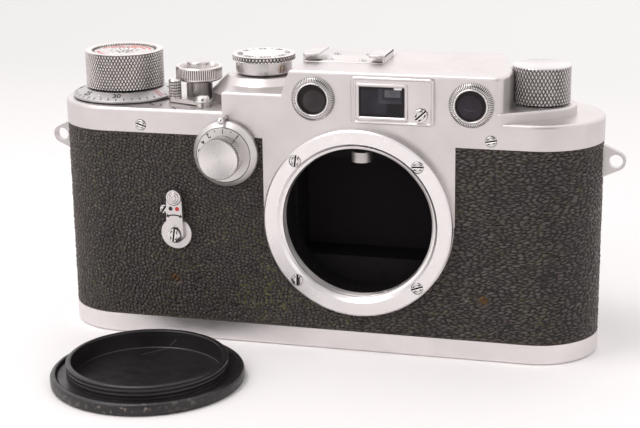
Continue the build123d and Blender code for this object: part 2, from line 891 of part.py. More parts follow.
def release_collar():
    """The knurled collar round the release button, dished on top."""
    low = deck + sleeve_height - 0.8
    high = low + 0.8 + collar_height
    collar = turned([
        (sleeve_radius + fit_gap, low + 0.4), (collar_radius - 0.5, low + 0.4), (collar_radius, low + 0.9),
        (collar_radius, high - 0.4), (collar_radius - 0.4, high), (collar_recess_radius, high),
        (collar_recess_radius, high - 1.6), (sleeve_radius + fit_gap, high - 2.0),
    ])
    return collar.moved(Location((release_x, 0, 0)))


def release_button():
    """The release button on its stem, which reaches down into the sprocket shaft."""
    button = upright(button_radius, button_low, button_low + button_height, release_x, 0)
    button = fillet(top_edges(button), 0.5)
    button -= Pos(release_x, 0, button_low + button_height + 4.6) * Sphere(5.0)
    button += upright(stem_radius, plate_top - 1.5, button_low, release_x, 0)
    return button


def release_spring():
    """The coil spring under the button."""
    low = deck + 0.6 + spring_wire + 0.05
    high = button_low - spring_wire - 0.05
    radius = stem_radius + spring_wire + 0.22
    path = Pos(release_x, 0, low) * Helix(pitch=(high - low) / 5, height=high - low, radius=radius)
    section = Plane(origin=path @ 0, z_dir=path % 0) * Circle(spring_wire)
    return sweep(section, path=path)


def selector_end():
    """Where the selector's pillar stands."""
    angle = math.radians(selector_angle)
    x = release_x + selector_x + selector_reach * math.cos(angle)
    y = selector_y + selector_reach * math.sin(angle)
    return x, y


def selector_lever():
    """The advance and rewind lever: a flat arm with a round end over its pivot."""
    low = deck + loose_gap
    arm = extrude(SlotCenterToCenter(selector_reach, selector_width), selector_thickness)
    x, y = selector_end()
    middle = ((release_x + selector_x + x) / 2, (selector_y + y) / 2, low)
    arm = Pos(*middle) * Rot(0, 0, selector_angle) * arm
    arm -= upright(pivot_radius + run_gap, low - 1, low + 3, release_x + selector_x, selector_y)
    return arm


def selector_pillar():
    """The knurled finger pillar on the lever's end."""
    x, y = selector_end()
    low = deck + loose_gap + selector_thickness
    return fillet(top_edges(upright(pillar_radius, low, low + pillar_height, x, y)), 0.3)


def selector_screw():
    """The domed pivot screw with its washer."""
    low = deck + loose_gap + selector_thickness + 0.1
    head = slotted_head(2.0, 1.3, 35) + upright(2.4, -0.35, 0).moved(Location((0, 0, 0.35)))
    head += upright(pivot_radius, -selector_thickness - 0.35, 0)
    head += upright(thread_radius, -selector_thickness - 3.0, 0)
    return Pos(release_x + selector_x, selector_y, low) * head


def speed_sleeve():
    """The sleeve under the speed dial, which lifts with it, and its set screw."""
    low = boss_top + loose_gap
    sleeve = upright(dial_sleeve_radius, low, low + dial_sleeve_height, dial_x, dial_y)
    sleeve -= upright(dial_spigot_radius + run_gap, low + 1, low + 5, dial_x, dial_y)
    return sleeve - upright(dial_shaft_radius + run_gap, low - 1, low + 5, dial_x, dial_y)


def speed_dial():
    """The speed dial: a fine-toothed rim round a flat scale."""
    low = boss_top + loose_gap + dial_sleeve_height + 0.05
    teeth = 60
    points = []
    for tooth in range(teeth):
        for share, radius in ((0, dial_radius), (0.5, dial_radius - 0.35)):
            angle = 2 * math.pi * (tooth + share) / teeth
            points.append((radius * math.cos(angle), radius * math.sin(angle)))
    rim = extrude(make_face(Polyline(*points, close=True)), dial_thickness)
    dial = Pos(dial_x, dial_y, low) * rim
    dial += upright(dial_spigot_radius, low - dial_sleeve_height + 1.2, low, dial_x, dial_y)
    return dial - upright(dial_shaft_radius + run_gap, low - 5, low + 5, dial_x, dial_y)


def speed_shaft():
    """The shutter drum's arbor, which comes up through the boss to the middle of the dial."""
    high = boss_top + loose_gap + dial_sleeve_height + dial_thickness
    return upright(dial_shaft_radius, base_height + 1.2, high, dial_x, dial_y)


def slow_dial():
    """The slow-speed dial: a bevelled disc on a shaft through the body's front."""
    disc = turned([
        (0, 0.3), (slow_radius, 0.3), (slow_radius, slow_thickness - 1.3),
        (slow_face_radius, slow_thickness), (0, slow_thickness),
    ])
    disc += upright(slow_shaft_radius, -5.0, 0.4)
    return facing_front(disc, slow_x, front, slow_z)


def slow_dial_knob():
    """The serrated knob in the middle of the slow-speed dial."""
    teeth = 36
    points = []
    for tooth in range(teeth):
        for share, radius in ((0, slow_knob_radius), (0.5, slow_knob_radius - 0.3)):
            angle = 2 * math.pi * (tooth + share) / teeth
            points.append((radius * math.cos(angle), radius * math.sin(angle)))
    knob = extrude(make_face(Polyline(*points, close=True)), slow_knob_length)
    return facing_front(knob, slow_x, front - slow_thickness, slow_z)


def slow_index_post():
    """The ball-headed post that the slow dial's scale is read against."""
    post = forward(index_pin_radius, front + 1.5, front - index_reach, slow_x, index_z)
    return post + Pos(slow_x, front - index_reach, index_z) * Sphere(index_ball_radius)


def flash_base():
    """The round base of the flash lever."""
    face = -half_thickness - flash_base_thickness
    base = forward(flash_base_radius, -half_thickness, face, flash_x, flash_z)
    return base - forward(thread_radius + fit_gap, 0, -half_thickness - 5, flash_x, flash_z)


def flash_lever():
    """The flash lever: a tapered strip with a raised boss near its tip."""
    back = -half_thickness - flash_base_thickness - 0.1
    face = back - flash_lever_thickness
    half_wide = flash_lever_width / 2
    tip_z = flash_z + flash_lever_length
    lever = forward(half_wide, back, face, flash_x, flash_z)
    lever += block(flash_x - half_wide, flash_x + half_wide, face, back, flash_z, tip_z)
    lever += forward(half_wide, back, face, flash_x, tip_z)
    lever += forward(flash_boss_radius, face + 0.1, face - 0.7, flash_x, tip_z)
    return lever - forward(pivot_radius + run_gap, 0, front - 9, flash_x, flash_z)


def flash_screws():
    """The flash lever's pivot screw and the small screw beside it."""
    face = -half_thickness - flash_base_thickness - 0.2 - flash_lever_thickness
    pivot = screw(flash_screw_radius, 0.8, -face - inside_half_thickness, 70, flash_x, face, flash_z)
    pivot += forward(pivot_radius, face + flash_lever_thickness + 0.1, face, flash_x, flash_z)
    stop_x = flash_x + flash_stop_x
    stop = screw(flash_stop_radius, 0.6, 1.8, 15, stop_x, -half_thickness, flash_z + flash_stop_z)
    return Compound([pivot, stop])


def rewind_shaft():
    """The rewind shaft with the fork that turns the cassette's spool."""
    high = plateau_top + loose_gap + rewind_knob_height - 0.6
    low = plate_low - 6.0
    shaft = upright(rewind_shaft_radius, low, high, rewind_x, 0)
    shaft += upright(3.2, plate_low - 3.0, plate_low - 0.3, rewind_x, 0)
    return shaft - block(rewind_x - 0.5, rewind_x + 0.5, -4, 4, low - 1, low + 2.5)


def rewind_knob():
    """The rewind knob, free to slide up its shaft."""
    low = plateau_top + loose_gap
    high = low + rewind_knob_height
    bore = rewind_shaft_radius + run_gap
    knob = turned([
        (bore, low),
        (rewind_knob_radius - 0.4, low),
        (rewind_knob_radius, low + 0.4),
        (rewind_knob_radius, high - 0.9),
        (rewind_knob_radius - 0.4, high),
        (bore, high),
    ])
    return knob.moved(Location((rewind_x, 0, 0)))


def window_glass(x):
    """A rangefinder window's round glass."""
    return forward(window_glass_radius, front + 0.8, front - 0.3, x, window_z)


def window_bezel(x):
    """A rangefinder window's turned bezel."""
    bore = window_glass_radius + fit_gap
    bezel = turned([
        (bore, 0),
        (bezel_radius, 0),
        (bezel_radius, bezel_stand - 0.6),
        (bezel_radius - 0.6, bezel_stand),
        (window_glass_radius + 0.6, bezel_stand),
        (bore, 0.6),
    ])
    return facing_front(bezel, x, front, window_z)


def viewfinder_frame():
    """The raised finder frame with a bevelled border and a sunk window."""
    wide = finder_right - finder_left
    high = finder_high - finder_low
    frame = extrude(fillet(Rectangle(wide, high).vertices(), 0.8), finder_stand)
    frame = chamfer(top_edges(frame), 0.5)
    frame = facing_front(frame, finder_x, front, cover_low + (finder_low + finder_high) / 2)
    frame -= finder_opening(0, front - 3, front + 1)
    hole_x = lens_x + finder_screw_x
    hole_z = cover_low + finder_screw_rise
    frame -= forward(1.7 + fit_gap, front - finder_stand + 0.5, front - 3, hole_x, hole_z)
    return frame - forward(thread_radius + fit_gap, front + 1, front - 3, hole_x, hole_z)


def viewfinder_glass():
    """The finder's front glass, set back in its frame."""
    return finder_opening(-0.05, front - 0.3, front + 0.8)


def viewfinder_screw():
    """The single slotted screw that holds the finder frame."""
    x = lens_x + finder_screw_x
    return screw(1.7, 0.7, 2.0, 40, x, front - finder_stand + 0.5, cover_low + finder_screw_rise)


def viewfinder_tube():
    """The square light tube from the finder's glass to its eyepiece."""
    left = lens_x + finder_glass_left
    right = lens_x + finder_glass_right
    low = cover_low + finder_glass_low
    high = cover_low + finder_glass_high
    inner_front = front + cover_wall + 0.2
    inner_back = -front - cover_wall - 0.2
    tube = block(left - 0.8, right + 0.8, inner_front, inner_back, low - 0.8, high + 0.8)
    tube -= block(left, right, inner_front - 1, inner_back - 0.8, low, high)
    eye_x = lens_x + finder_eye_x
    return tube - forward(eyepiece_neck_radius + fit_gap, inner_back + 1, inner_back - 2, eye_x, window_z)


def eyepieces():
    """The two eyepiece rims at the back of the housing."""
    bore = eyepiece_glass_radius + fit_gap
    rims = []
    for x in eyepiece_places():
        rim = turned([
            (bore, -1.6),
            (eyepiece_neck_radius, -1.6),
            (eyepiece_neck_radius, 0),
            (eyepiece_radius, 0),
            (eyepiece_radius, eyepiece_stand - 0.5),
            (eyepiece_radius - 0.5, eyepiece_stand),
            (eyepiece_glass_radius + 0.5, eyepiece_stand),
            (bore, eyepiece_stand - 0.5),
        ])
        rims.append(Pos(x, -front, window_z) * Rot(-90, 0, 0) * rim)
    return Compound(rims)


def eyepiece_glasses():
    """The eyepieces' glasses."""
    back = -front + eyepiece_stand - 0.9
    return Compound([forward(eyepiece_glass_radius, back, back - 1.2, x, window_z) for x in eyepiece_places()])


def sync_socket():
    """The flash contact at the back of the housing."""
    bore = sync_radius - 0.2
    rim = turned([
        (0, -1.6),
        (sync_radius, -1.6),
        (sync_radius, 0),
        (sync_flange_radius, 0),
        (sync_flange_radius, sync_stand - 0.4),
        (sync_flange_radius - 0.4, sync_stand),
        (bore, sync_stand),
        (bore, -1.0),
        (0, -1.0),
    ])
    rim += upright(0.7, -1.2, 0.9)
    return Pos(sync_socket_x, -front, window_z) * Rot(-90, 0, 0) * rim


def rangefinder_follower():
    """The follower arm on its upright shaft, with the pin that carries the roller."""
    high = follower_low + follower_thickness
    length = math.hypot(follower_x - roller_x, follower_y - roller_y)
    angle = math.degrees(math.atan2(follower_y - roller_y, follower_x - roller_x))
    arm = extrude(SlotCenterToCenter(length, follower_width), follower_thickness)
    arm = Pos((roller_x + follower_x) / 2, (roller_y + follower_y) / 2, follower_low) * Rot(0, 0, angle) * arm
    arm += upright(follower_shaft_radius, follower_low - 2, housing_top - 5, follower_x, follower_y)
    arm += upright(0.8, roller_z - roller_height / 2 - 0.2, high, roller_x, roller_y)
    bar_low = cover_low + window_rise - 3
    arm += block(follower_x - 0.8, follower_x + 0.8, follower_y, 6.0, bar_low, bar_low + 6)
    return arm


def rangefinder_roller():
    """The small wheel that rides on the lens's cam."""
    low = roller_z - roller_height / 2
    return upright(roller_radius, low, low + roller_height, roller_x, roller_y) - upright(
        0.8 + run_gap, low - 1, low + 5, roller_x, roller_y)


def rangefinder_prism():
    """The fixed prism beside the finder tube, behind the first window."""
    x = lens_x + window_left
    half = prism_size / 2
    near = front + cover_wall + loose_gap
    return block(x - half, x + half, near, near + prism_size, window_z - half, window_z + half)


def accessory_shoe():
    """The accessory shoe: a floor with two folded lips."""
    centre = lens_x + shoe_x
    low = housing_top - shoe_sink
    high = housing_top + shoe_slot_height + shoe_lip
    near = shoe_y - shoe_length / 2
    far = near + shoe_length
    shoe = block(centre - shoe_width / 2, centre + shoe_width / 2, near, far, low, high)
    shoe = fillet(shoe.edges().filter_by(Axis.Y).sort_by(Axis.Z)[-2:], 0.5)
    for width, cut_high in ((shoe_slot_width, high - shoe_lip), (shoe_lip_gap, high + 1)):
        shoe -= block(centre - width / 2, centre + width / 2, near - 1, far + 1, housing_top, cut_high)
    for x, y in shoe_screw_places():
        shoe -= upright(thread_radius + fit_gap, low - 1, housing_top + 0.1, x, y)
    return shoe


def shoe_screw_places():
    """Four screws in the shoe's floor."""
    centre = lens_x + shoe_x
    offsets = (-shoe_screw_offset, shoe_screw_offset)
    return [(centre + x, shoe_y + y) for x in offsets for y in offsets]


def shoe_screws():
    """The flat screws that hold the shoe."""
    screws = []
    for x, y in shoe_screw_places():
        one = slotted_head(shoe_screw_radius, 0.3, 30 + 20 * x) + upright(thread_radius, -1.6, 0)
        screws.append(Pos(x, y, housing_top) * one)
    return Compound(screws)


def strap_lug(side):
    """A rounded triangular ear whose root passes into the body's end."""
    end_x = half_length + lug_reach
    root_x = shell_half_length - shell_wall + 0.1
    half_root = lug_root_height / 2
    lean = math.atan2(half_root - lug_end_radius, end_x - half_length)
    touch_x = end_x + lug_end_radius * math.sin(lean)
    touch_z = lug_end_radius * math.cos(lean)
    outline = Polygon(
        (root_x, -half_root), (half_length, -half_root), (touch_x, -touch_z),
        (touch_x, touch_z), (half_length, half_root), (root_x, half_root), align=None,
    )
    end = Pos(end_x, 0)
    ear = Plane.XZ * (outline + end * Circle(lug_end_radius) - end * Circle(lug_hole_radius))
    ear = Pos(0, 0, lug_z) * extrude(ear, lug_thickness / 2, both=True)
    return ear if side > 0 else ear.rotate(Axis.Z, 180)


def cover_screws():
    """The screws that hold the top cover's sides."""
    seat = cover_half_thickness - cover_wall + 0.05
    screws = []
    for index, (x, face) in enumerate(cover_screw_places()):
        one = slotted_head(cover_screw_radius, 1.0, 25 + 40 * index) + upright(thread_radius, -1.2, 0)
        place = Pos(x, face * seat, cover_low + cover_screw_rise) * Rot(-90 * face, 0, 0)
        screws.append(place * one)
    return Compound(screws)


def leather_screws():
    """The small brass screws sunk in the leather."""
    seat = -shell_half_thickness
    places = front_screw_places()[:2]
    return Compound([screw(leather_screw_radius, 0.5, 1.6, 80, x, seat, z) for x, z in places])


def base_plate():
    """The detachable base: a shallow dish with a hook at one end."""
    plate = stadium(cover_half_length, cover_half_thickness, 0, base_height)
    plate = fillet(plate.faces().sort_by(Axis.Z)[0].edges(), 0.8)
    inner_length = cover_half_length - base_wall
    plate -= stadium(inner_length, cover_half_thickness - base_wall, base_floor, base_height + 1)
    hook_low = base_height + hook_rise
    hook_high = hook_low + hook_thickness
    half_hook = hook_width / 2
    near = -inside_half_length + 0.6
    plate += block(near, near + 1.2, -half_hook, half_hook, base_floor - 0.1, hook_high)
    plate += block(-inside_half_length - hook_nose, near + 0.1, -half_hook, half_hook, hook_low, hook_high)
    plate -= upright(key_radius + run_gap, -1, base_height, rewind_x, 0)
    return plate - upright(bush_radius - 1.5 + fit_gap, -1, base_height, bush_x, 0)


def tripod_bush():
    """The threaded bush for a tripod screw."""
    bush = upright(bush_radius, base_floor, base_height + 1.2, bush_x, 0)
    bush += upright(bush_radius - 1.5, 0, base_floor + 0.1, bush_x, 0)
    return bush - upright(bush_bore, -1, base_height - 0.2, bush_x, 0)


def base_lock_key():
    """The lock key: a dished disc, flush with the base, with a locking bar inside."""
    key = upright(key_radius, 0.1, base_floor + 0.1, rewind_x, 0)
    key += upright(key_flange_radius, base_floor + 0.05, base_floor + 0.9, rewind_x, 0)
    key += upright(key_post_radius, base_floor, key_bar_lift + 1.0, rewind_x, 0)
    half_wide = key_bar_width / 2
    half_long = key_bar_length / 2
    bar_high = key_bar_lift + 1.0
    key += block(rewind_x - half_wide, rewind_x + half_wide, -half_long, half_long, key_bar_lift, bar_high)
    key -= upright(handle_radius + 0.3, -1, 1.15, rewind_x, 0)
    return key - handle_pin(handle_pin_radius + run_gap, handle_radius + 1.15)


def handle_pin(radius, reach):
    """The handle's pivot: a thin rod along X that ends in the key's rim."""
    return Pos(rewind_x, 0, handle_mid) * Rot(0, 90, 0) * Cylinder(radius, 2 * reach)


def key_handle():
    """The folding half-round handle of the lock key."""
    low = handle_mid - handle_pin_radius
    high = handle_mid + handle_pin_radius
    handle = upright(handle_radius, low, high, rewind_x, 0)
    handle -= upright(handle_radius - 2.4, low - 1, high + 1, rewind_x, 0)
    handle &= block(rewind_x - 10, rewind_x + 10, -10, -0.2, low, high)
    return handle + handle_pin(handle_pin_radius, handle_radius + 1.0)


def body_cap():
    """The screw-in body cap, lying with its threaded side up."""
    ring_inner = cap_ring_radius - cap_ring_wall
    ledge = cap_height - cap_step
    rim_inner = cap_radius - cap_rim_width
    cap = turned([
        (0, 0.3),
        (cap_radius - 2.6, 0.3),
        (cap_radius - 2.2, 0),
        (cap_radius - 0.5, 0),
        (cap_radius, 0.5),
        (cap_radius, cap_height - 0.3),
        (cap_radius - 0.3, cap_height),
        (rim_inner, cap_height),
        (rim_inner - 0.3, ledge),
        (cap_ring_radius, ledge),
        (cap_ring_radius, cap_ring_top - 0.3),
        (cap_ring_radius - 0.3, cap_ring_top),
        (ring_inner, cap_ring_top),
        (ring_inner, cap_floor),
        (0, cap_floor),
    ])
    return cap.moved(Location((cap_x, cap_y, 0)))


parts = {
    "body_shell": body_shell(),
    "leather_cover": leather_cover(),
    "top_cover": top_cover(),
    "lens_mount_ring": lens_mount_ring(),
    "lens_mount_screws": lens_mount_screws(),
    "light_box": light_box(),
    "shutter_crate": shutter_crate(),
    "shutter_drum": shutter_drum(),
    "spring_rollers": spring_rollers(),
    "front_curtain": front_curtain(),
    "rear_curtain": rear_curtain(),
    "film_gate": film_gate(),
    "pressure_plate": pressure_plate(),
    "wind_shaft": wind_shaft(),
    "wind_knob": wind_knob(),
    "reminder_disc": reminder_disc(),
    "wind_hub_screw": wind_hub_screw(),
    "counter_disc": counter_disc(),
    "wind_bush": wind_bush(),
    "take_up_spool": take_up_spool(),
    "sprocket_shaft": sprocket_shaft(),
    "release_sleeve": release_sleeve(),
    "release_collar": release_collar(),
    "release_button": release_button(),
    "release_spring": release_spring(),
    "selector_lever": selector_lever(),
    "selector_pillar": selector_pillar(),
    "selector_screw": selector_screw(),
    "speed_sleeve": speed_sleeve(),
    "speed_dial": speed_dial(),
    "speed_shaft": speed_shaft(),
    "slow_dial": slow_dial(),
    "slow_dial_knob": slow_dial_knob(),
    "slow_index_post": slow_index_post(),
    "flash_base": flash_base(),
    "flash_lever": flash_lever(),
    "flash_screws": flash_screws(),
    "rewind_shaft": rewind_shaft(),
    "rewind_knob": rewind_knob(),
    "window_glasses": Compound([window_glass(x) for x in window_places()]),
    "window_bezels": Compound([window_bezel(x) for x in window_places()]),
    "viewfinder_frame": viewfinder_frame(),
    "viewfinder_glass": viewfinder_glass(),
    "viewfinder_screw": viewfinder_screw(),
    "viewfinder_tube": viewfinder_tube(),
    "eyepieces": eyepieces(),
    "eyepiece_glasses": eyepiece_glasses(),
    "sync_socket": sync_socket(),
    "rangefinder_follower": rangefinder_follower(),
    "rangefinder_roller": rangefinder_roller(),
    "rangefinder_prism": rangefinder_prism(),
    "accessory_shoe": accessory_shoe(),
    "strap_lugs": Compound([strap_lug(-1), strap_lug(1)]),
    "cover_screws": Compound([cover_screws(), shoe_screws()]),
    "leather_screws": leather_screws(),
    "base_plate": base_plate(),
    "tripod_bush": tripod_bush(),
    "base_lock_key": base_lock_key(),
    "key_handle": key_handle(),
    "body_cap": body_cap(),
}

os.makedirs("parts", exist_ok=True)
for name, part in parts.items():
    export_step(part, f"parts/{name}.step")
print(len(parts), "parts written")
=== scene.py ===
import logging
from dataclasses import dataclass, field
from enum import Enum
from functools import cache
from math import atan2, cos, hypot, pi, radians, sin

import bmesh
import bpy
import numpy as np
from mathutils import Matrix, Vector


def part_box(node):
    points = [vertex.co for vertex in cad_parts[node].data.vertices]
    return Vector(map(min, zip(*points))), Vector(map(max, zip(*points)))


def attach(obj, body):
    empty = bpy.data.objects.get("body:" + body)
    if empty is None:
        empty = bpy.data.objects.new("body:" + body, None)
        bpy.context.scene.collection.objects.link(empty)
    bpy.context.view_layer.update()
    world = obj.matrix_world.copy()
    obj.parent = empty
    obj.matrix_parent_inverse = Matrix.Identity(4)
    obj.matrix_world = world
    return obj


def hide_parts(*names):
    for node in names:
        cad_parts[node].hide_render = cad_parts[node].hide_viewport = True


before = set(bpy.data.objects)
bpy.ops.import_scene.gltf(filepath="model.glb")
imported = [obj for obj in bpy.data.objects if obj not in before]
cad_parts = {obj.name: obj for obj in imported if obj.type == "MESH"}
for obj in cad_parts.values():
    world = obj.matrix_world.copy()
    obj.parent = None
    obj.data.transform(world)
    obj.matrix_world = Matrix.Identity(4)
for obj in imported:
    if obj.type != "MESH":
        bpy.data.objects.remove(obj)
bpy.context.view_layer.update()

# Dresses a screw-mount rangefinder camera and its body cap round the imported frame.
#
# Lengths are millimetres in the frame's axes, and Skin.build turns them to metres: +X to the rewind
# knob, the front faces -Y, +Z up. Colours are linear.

MM = 0.001
TURN = 2 * pi
Array = np.ndarray
Colour = tuple[float, float, float]
LOG = logging.getLogger("rangefinder_camera")


class Facing(Enum):
    """Which way a turned piece's axis points, as its right and up directions."""

    TOP = ((1.0, 0.0, 0.0), (0.0, 1.0, 0.0))
    FRONT = ((1.0, 0.0, 0.0), (0.0, 0.0, 1.0))
    BACK = ((-1.0, 0.0, 0.0), (0.0, 0.0, 1.0))


class Print(Enum):
    """The colours that marks are printed in."""

    BLACK = (0.016, 0.014, 0.015)
    GREY = (0.15, 0.142, 0.146)
    RED = (0.52, 0.035, 0.03)
    PINK = (0.62, 0.17, 0.15)
    # The white is used only as a painted highlight in the finder's glass.
    WHITE = (0.78, 0.76, 0.75)


@dataclass(frozen=True)
class Bounds:
    """A node's box in millimetres."""

    low: Array
    high: Array

    @classmethod
    def of(cls, node: str) -> "Bounds":
        """Reads the box of one node.

        Args:
            node: the node's name.

        Returns:
            Its box at rest.
        """
        low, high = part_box(node)
        return cls(np.array(low) / MM, np.array(high) / MM)

    @property
    def middle(self) -> Array:
        """The box's centre."""
        return (self.low + self.high) / 2

    @property
    def centre(self) -> tuple[float, ...]:
        """The box's centre as plain numbers."""
        return tuple(float(c) for c in self.middle)

    @property
    def foot(self) -> tuple[float, float, float]:
        """The middle of the box's underside."""
        return self.middle[0], self.middle[1], self.low[2]

    @property
    def size(self) -> Array:
        """The box's three sides."""
        return self.high - self.low


@dataclass
class Skin:
    """A surface in millimetres: points, faces with a coat number each, and marks for each point."""

    points: Array
    faces: list[Array]
    coats: list[int]
    marks: dict[str, Array] = field(default_factory=dict)

    def coated(self, coat: int) -> "Skin":
        """The same surface with one coat all over."""
        return Skin(self.points, self.faces, [coat] * len(self.faces), self.marks)

    def placed(self, origin: Array, right: Array, up: Array) -> "Skin":
        """Moves the surface to a place of its own.

        Args:
            origin: where its own origin goes.
            right: the direction of its X.
            up: the direction of its Y. Its Z goes along right x up.

        Returns:
            The moved surface.
        """
        right, up = np.asarray(right, float), np.asarray(up, float)
        axes = np.stack([right, up, np.cross(right, up)])
        return Skin(self.points @ axes + np.asarray(origin, float), self.faces, self.coats, self.marks)

    def facing(self, way: Facing, origin: Array) -> "Skin":
        """Turns the surface to face a way and moves it."""
        return self.placed(origin, *way.value)

    def build(self, name: str, finishes: list, body: str, slot: str, replaced: tuple = (),
              sharp: float = 38.0):
        """Makes the mesh, dresses it and hangs it on a body.

        Args:
            name: the piece's name.
            finishes: what each coat number stands for.
            body: the body that it rides on.
            slot: the record's material slot; not used.
            replaced: the nodes that it stands for.
            sharp: the angle in degrees past which an edge is sharp.

        Returns:
            The finished object.
        """
        mesh = bpy.data.meshes.new(name)
        sizes = np.concatenate([np.full(len(f), f.shape[1]) for f in self.faces])
        corners = np.concatenate([f.ravel() for f in self.faces])
        coats = np.concatenate([np.full(len(f), c) for f, c in zip(self.faces, self.coats)])
        mesh.vertices.add(len(self.points))
        mesh.vertices.foreach_set("co", (self.points * MM).astype(np.float32).ravel())
        mesh.loops.add(len(corners))
        mesh.loops.foreach_set("vertex_index", corners.astype(np.int32))
        mesh.polygons.add(len(sizes))
        mesh.polygons.foreach_set("loop_start", (np.cumsum(sizes) - sizes).astype(np.int32))
        mesh.update(calc_edges=True)
        mesh.polygons.foreach_set("material_index", coats.astype(np.int32))
        mesh.shade_smooth()
        mesh.set_sharp_from_angle(angle=radians(sharp))
        for mark, values in self.marks.items():
            layer = mesh.attributes.new(mark, "FLOAT", "POINT")
            layer.data.foreach_set("value", values.astype(np.float32))
        for finish in finishes:
            mesh.materials.append(material_of(finish))
        piece = bpy.data.objects.new(name, mesh)
        bpy.context.scene.collection.objects.link(piece)
        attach(piece, body)
        if replaced:
            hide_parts(*replaced)
        LOG.info("%s: %d faces on body %s", name, len(sizes), body)
        return piece


def joined(skins: list[Skin]) -> Skin:
    """Puts several surfaces into one.

    Args:
        skins: the surfaces.

    Returns:
        One surface with their faces, coats and marks. A mark that one of them lacks is 0 there.
    """
    starts = np.cumsum([0] + [len(s.points) for s in skins])
    faces = [f + start for s, start in zip(skins, starts) for f in s.faces]
    coats = [c for s in skins for c in s.coats]
    names = sorted({n for s in skins for n in s.marks})
    marks = {n: np.concatenate([s.marks.get(n, np.zeros(len(s.points))) for s in skins]) for n in names}
    return Skin(np.concatenate([s.points for s in skins]), faces, coats, marks)


def triangle_wave(x: Array) -> Array:
    """Twice the distance to the nearest whole number: 0 on whole numbers and 1 half-way."""
    return 2 * np.abs(x - np.round(x))


def smooth(x: Array) -> Array:
    """The smooth step 3x^2 - 2x^3 of x held to 0..1."""
    x = np.clip(x, 0, 1)
    return x * x * (3 - 2 * x)


def eased(points: list, radius: float, steps: int = 3, ring: bool = False) -> Array:
    """Rounds a profile's corners.

    Each corner P becomes (1-t)^2 A + 2t(1-t) P + t^2 B, with A and B at most radius away on its two
    legs, and never past 0.45 of a leg.

    Args:
        points: (radius, height) pairs.
        radius: how far from the corner the curve starts.
        steps: the pieces in each curve.
        ring: whether the profile closes on itself.

    Returns:
        The rounded profile.
    """
    line = np.asarray(points, float)
    if ring:
        line = np.concatenate([line[-1:], line, line[:1]])
    corner = line[1:-1]
    leg_in, leg_out = corner - line[:-2], line[2:] - corner
    long_in = np.linalg.norm(leg_in, axis=1, keepdims=True)
    long_out = np.linalg.norm(leg_out, axis=1, keepdims=True)
    start = (corner - leg_in * np.minimum(radius / long_in, 0.45))[:, None]
    end = (corner + leg_out * np.minimum(radius / long_out, 0.45))[:, None]
    t = np.linspace(0, 1, steps + 1)[None, :, None]
    curve = (1 - t) ** 2 * start + 2 * t * (1 - t) * corner[:, None] + t**2 * end
    curve = curve.reshape(-1, 2)
    return curve if ring else np.concatenate([line[:1], curve, line[-1:]])


def band(radius: float, low: float, high: float, step: float) -> Array:
    """A straight stretch of profile, cut into even rows for a pattern."""
    rows = max(1, round(abs(high - low) / step))
    heights = np.linspace(low, high, rows + 1)
    return np.stack([np.full(rows + 1, radius), heights], axis=1)


def chain(*parts: Array) -> Array:
    """Joins stretches of profile end to end."""
    return np.concatenate([np.asarray(p, float) for p in parts])


@dataclass(frozen=True)
class Knurl:
    """Grooves cut into a turned piece between two heights.

    A groove runs where a wave is 0, and its depth falls in a straight line to 0 where the wave
    reaches land. Round the piece the wave's place is u = angle x count / a turn, and along it
    v = height / period.
    """

    count: int
    depth: float
    low: float
    high: float
    land: float = 0.5
    period: float = 0.0
    sink: float = 0.0

    def waves(self, u: Array, v: Array) -> Array:
        """Straight grooves along the axis: the wave of u alone."""
        return triangle_wave(u) + 0 * v

    def cut(self, angle: Array, height: Array) -> Array:
        """Works out how deep the surface is cut.

        Args:
            angle: the angle round the axis, one row.
            height: the height of each profile point, one column.

        Returns:
            The share of the full depth, 0 to 1, on the whole grid.
        """
        u = angle * self.count / TURN
        v = (height - self.low) / self.period if self.period else 0 * height
        share = np.clip(1 - self.waves(u, v) / self.land, 0, 1)
        return share * ((height > self.low) & (height < self.high))


@dataclass(frozen=True)
class DiamondKnurl(Knurl):
    """Two crossed families of slanted grooves: the waves of u + v and u - v."""

    def waves(self, u: Array, v: Array) -> Array:
        """The lower of the two families' waves."""
        return np.minimum(triangle_wave(u + v), triangle_wave(u - v))


@dataclass(frozen=True)
class SquareKnurl(Knurl):
    """Grooves along the axis crossed by rings: the waves of u and v."""

    def waves(self, u: Array, v: Array) -> Array:
        """The lower of the two families' waves."""
        return np.minimum(triangle_wave(u), triangle_wave(v))


@dataclass(frozen=True)
class Thread(Knurl):
    """A screw thread: the wave of v - u, with count as the number of starts."""

    def waves(self, u: Array, v: Array) -> Array:
        """The wave that climbs one period a turn."""
        return triangle_wave(v - u)


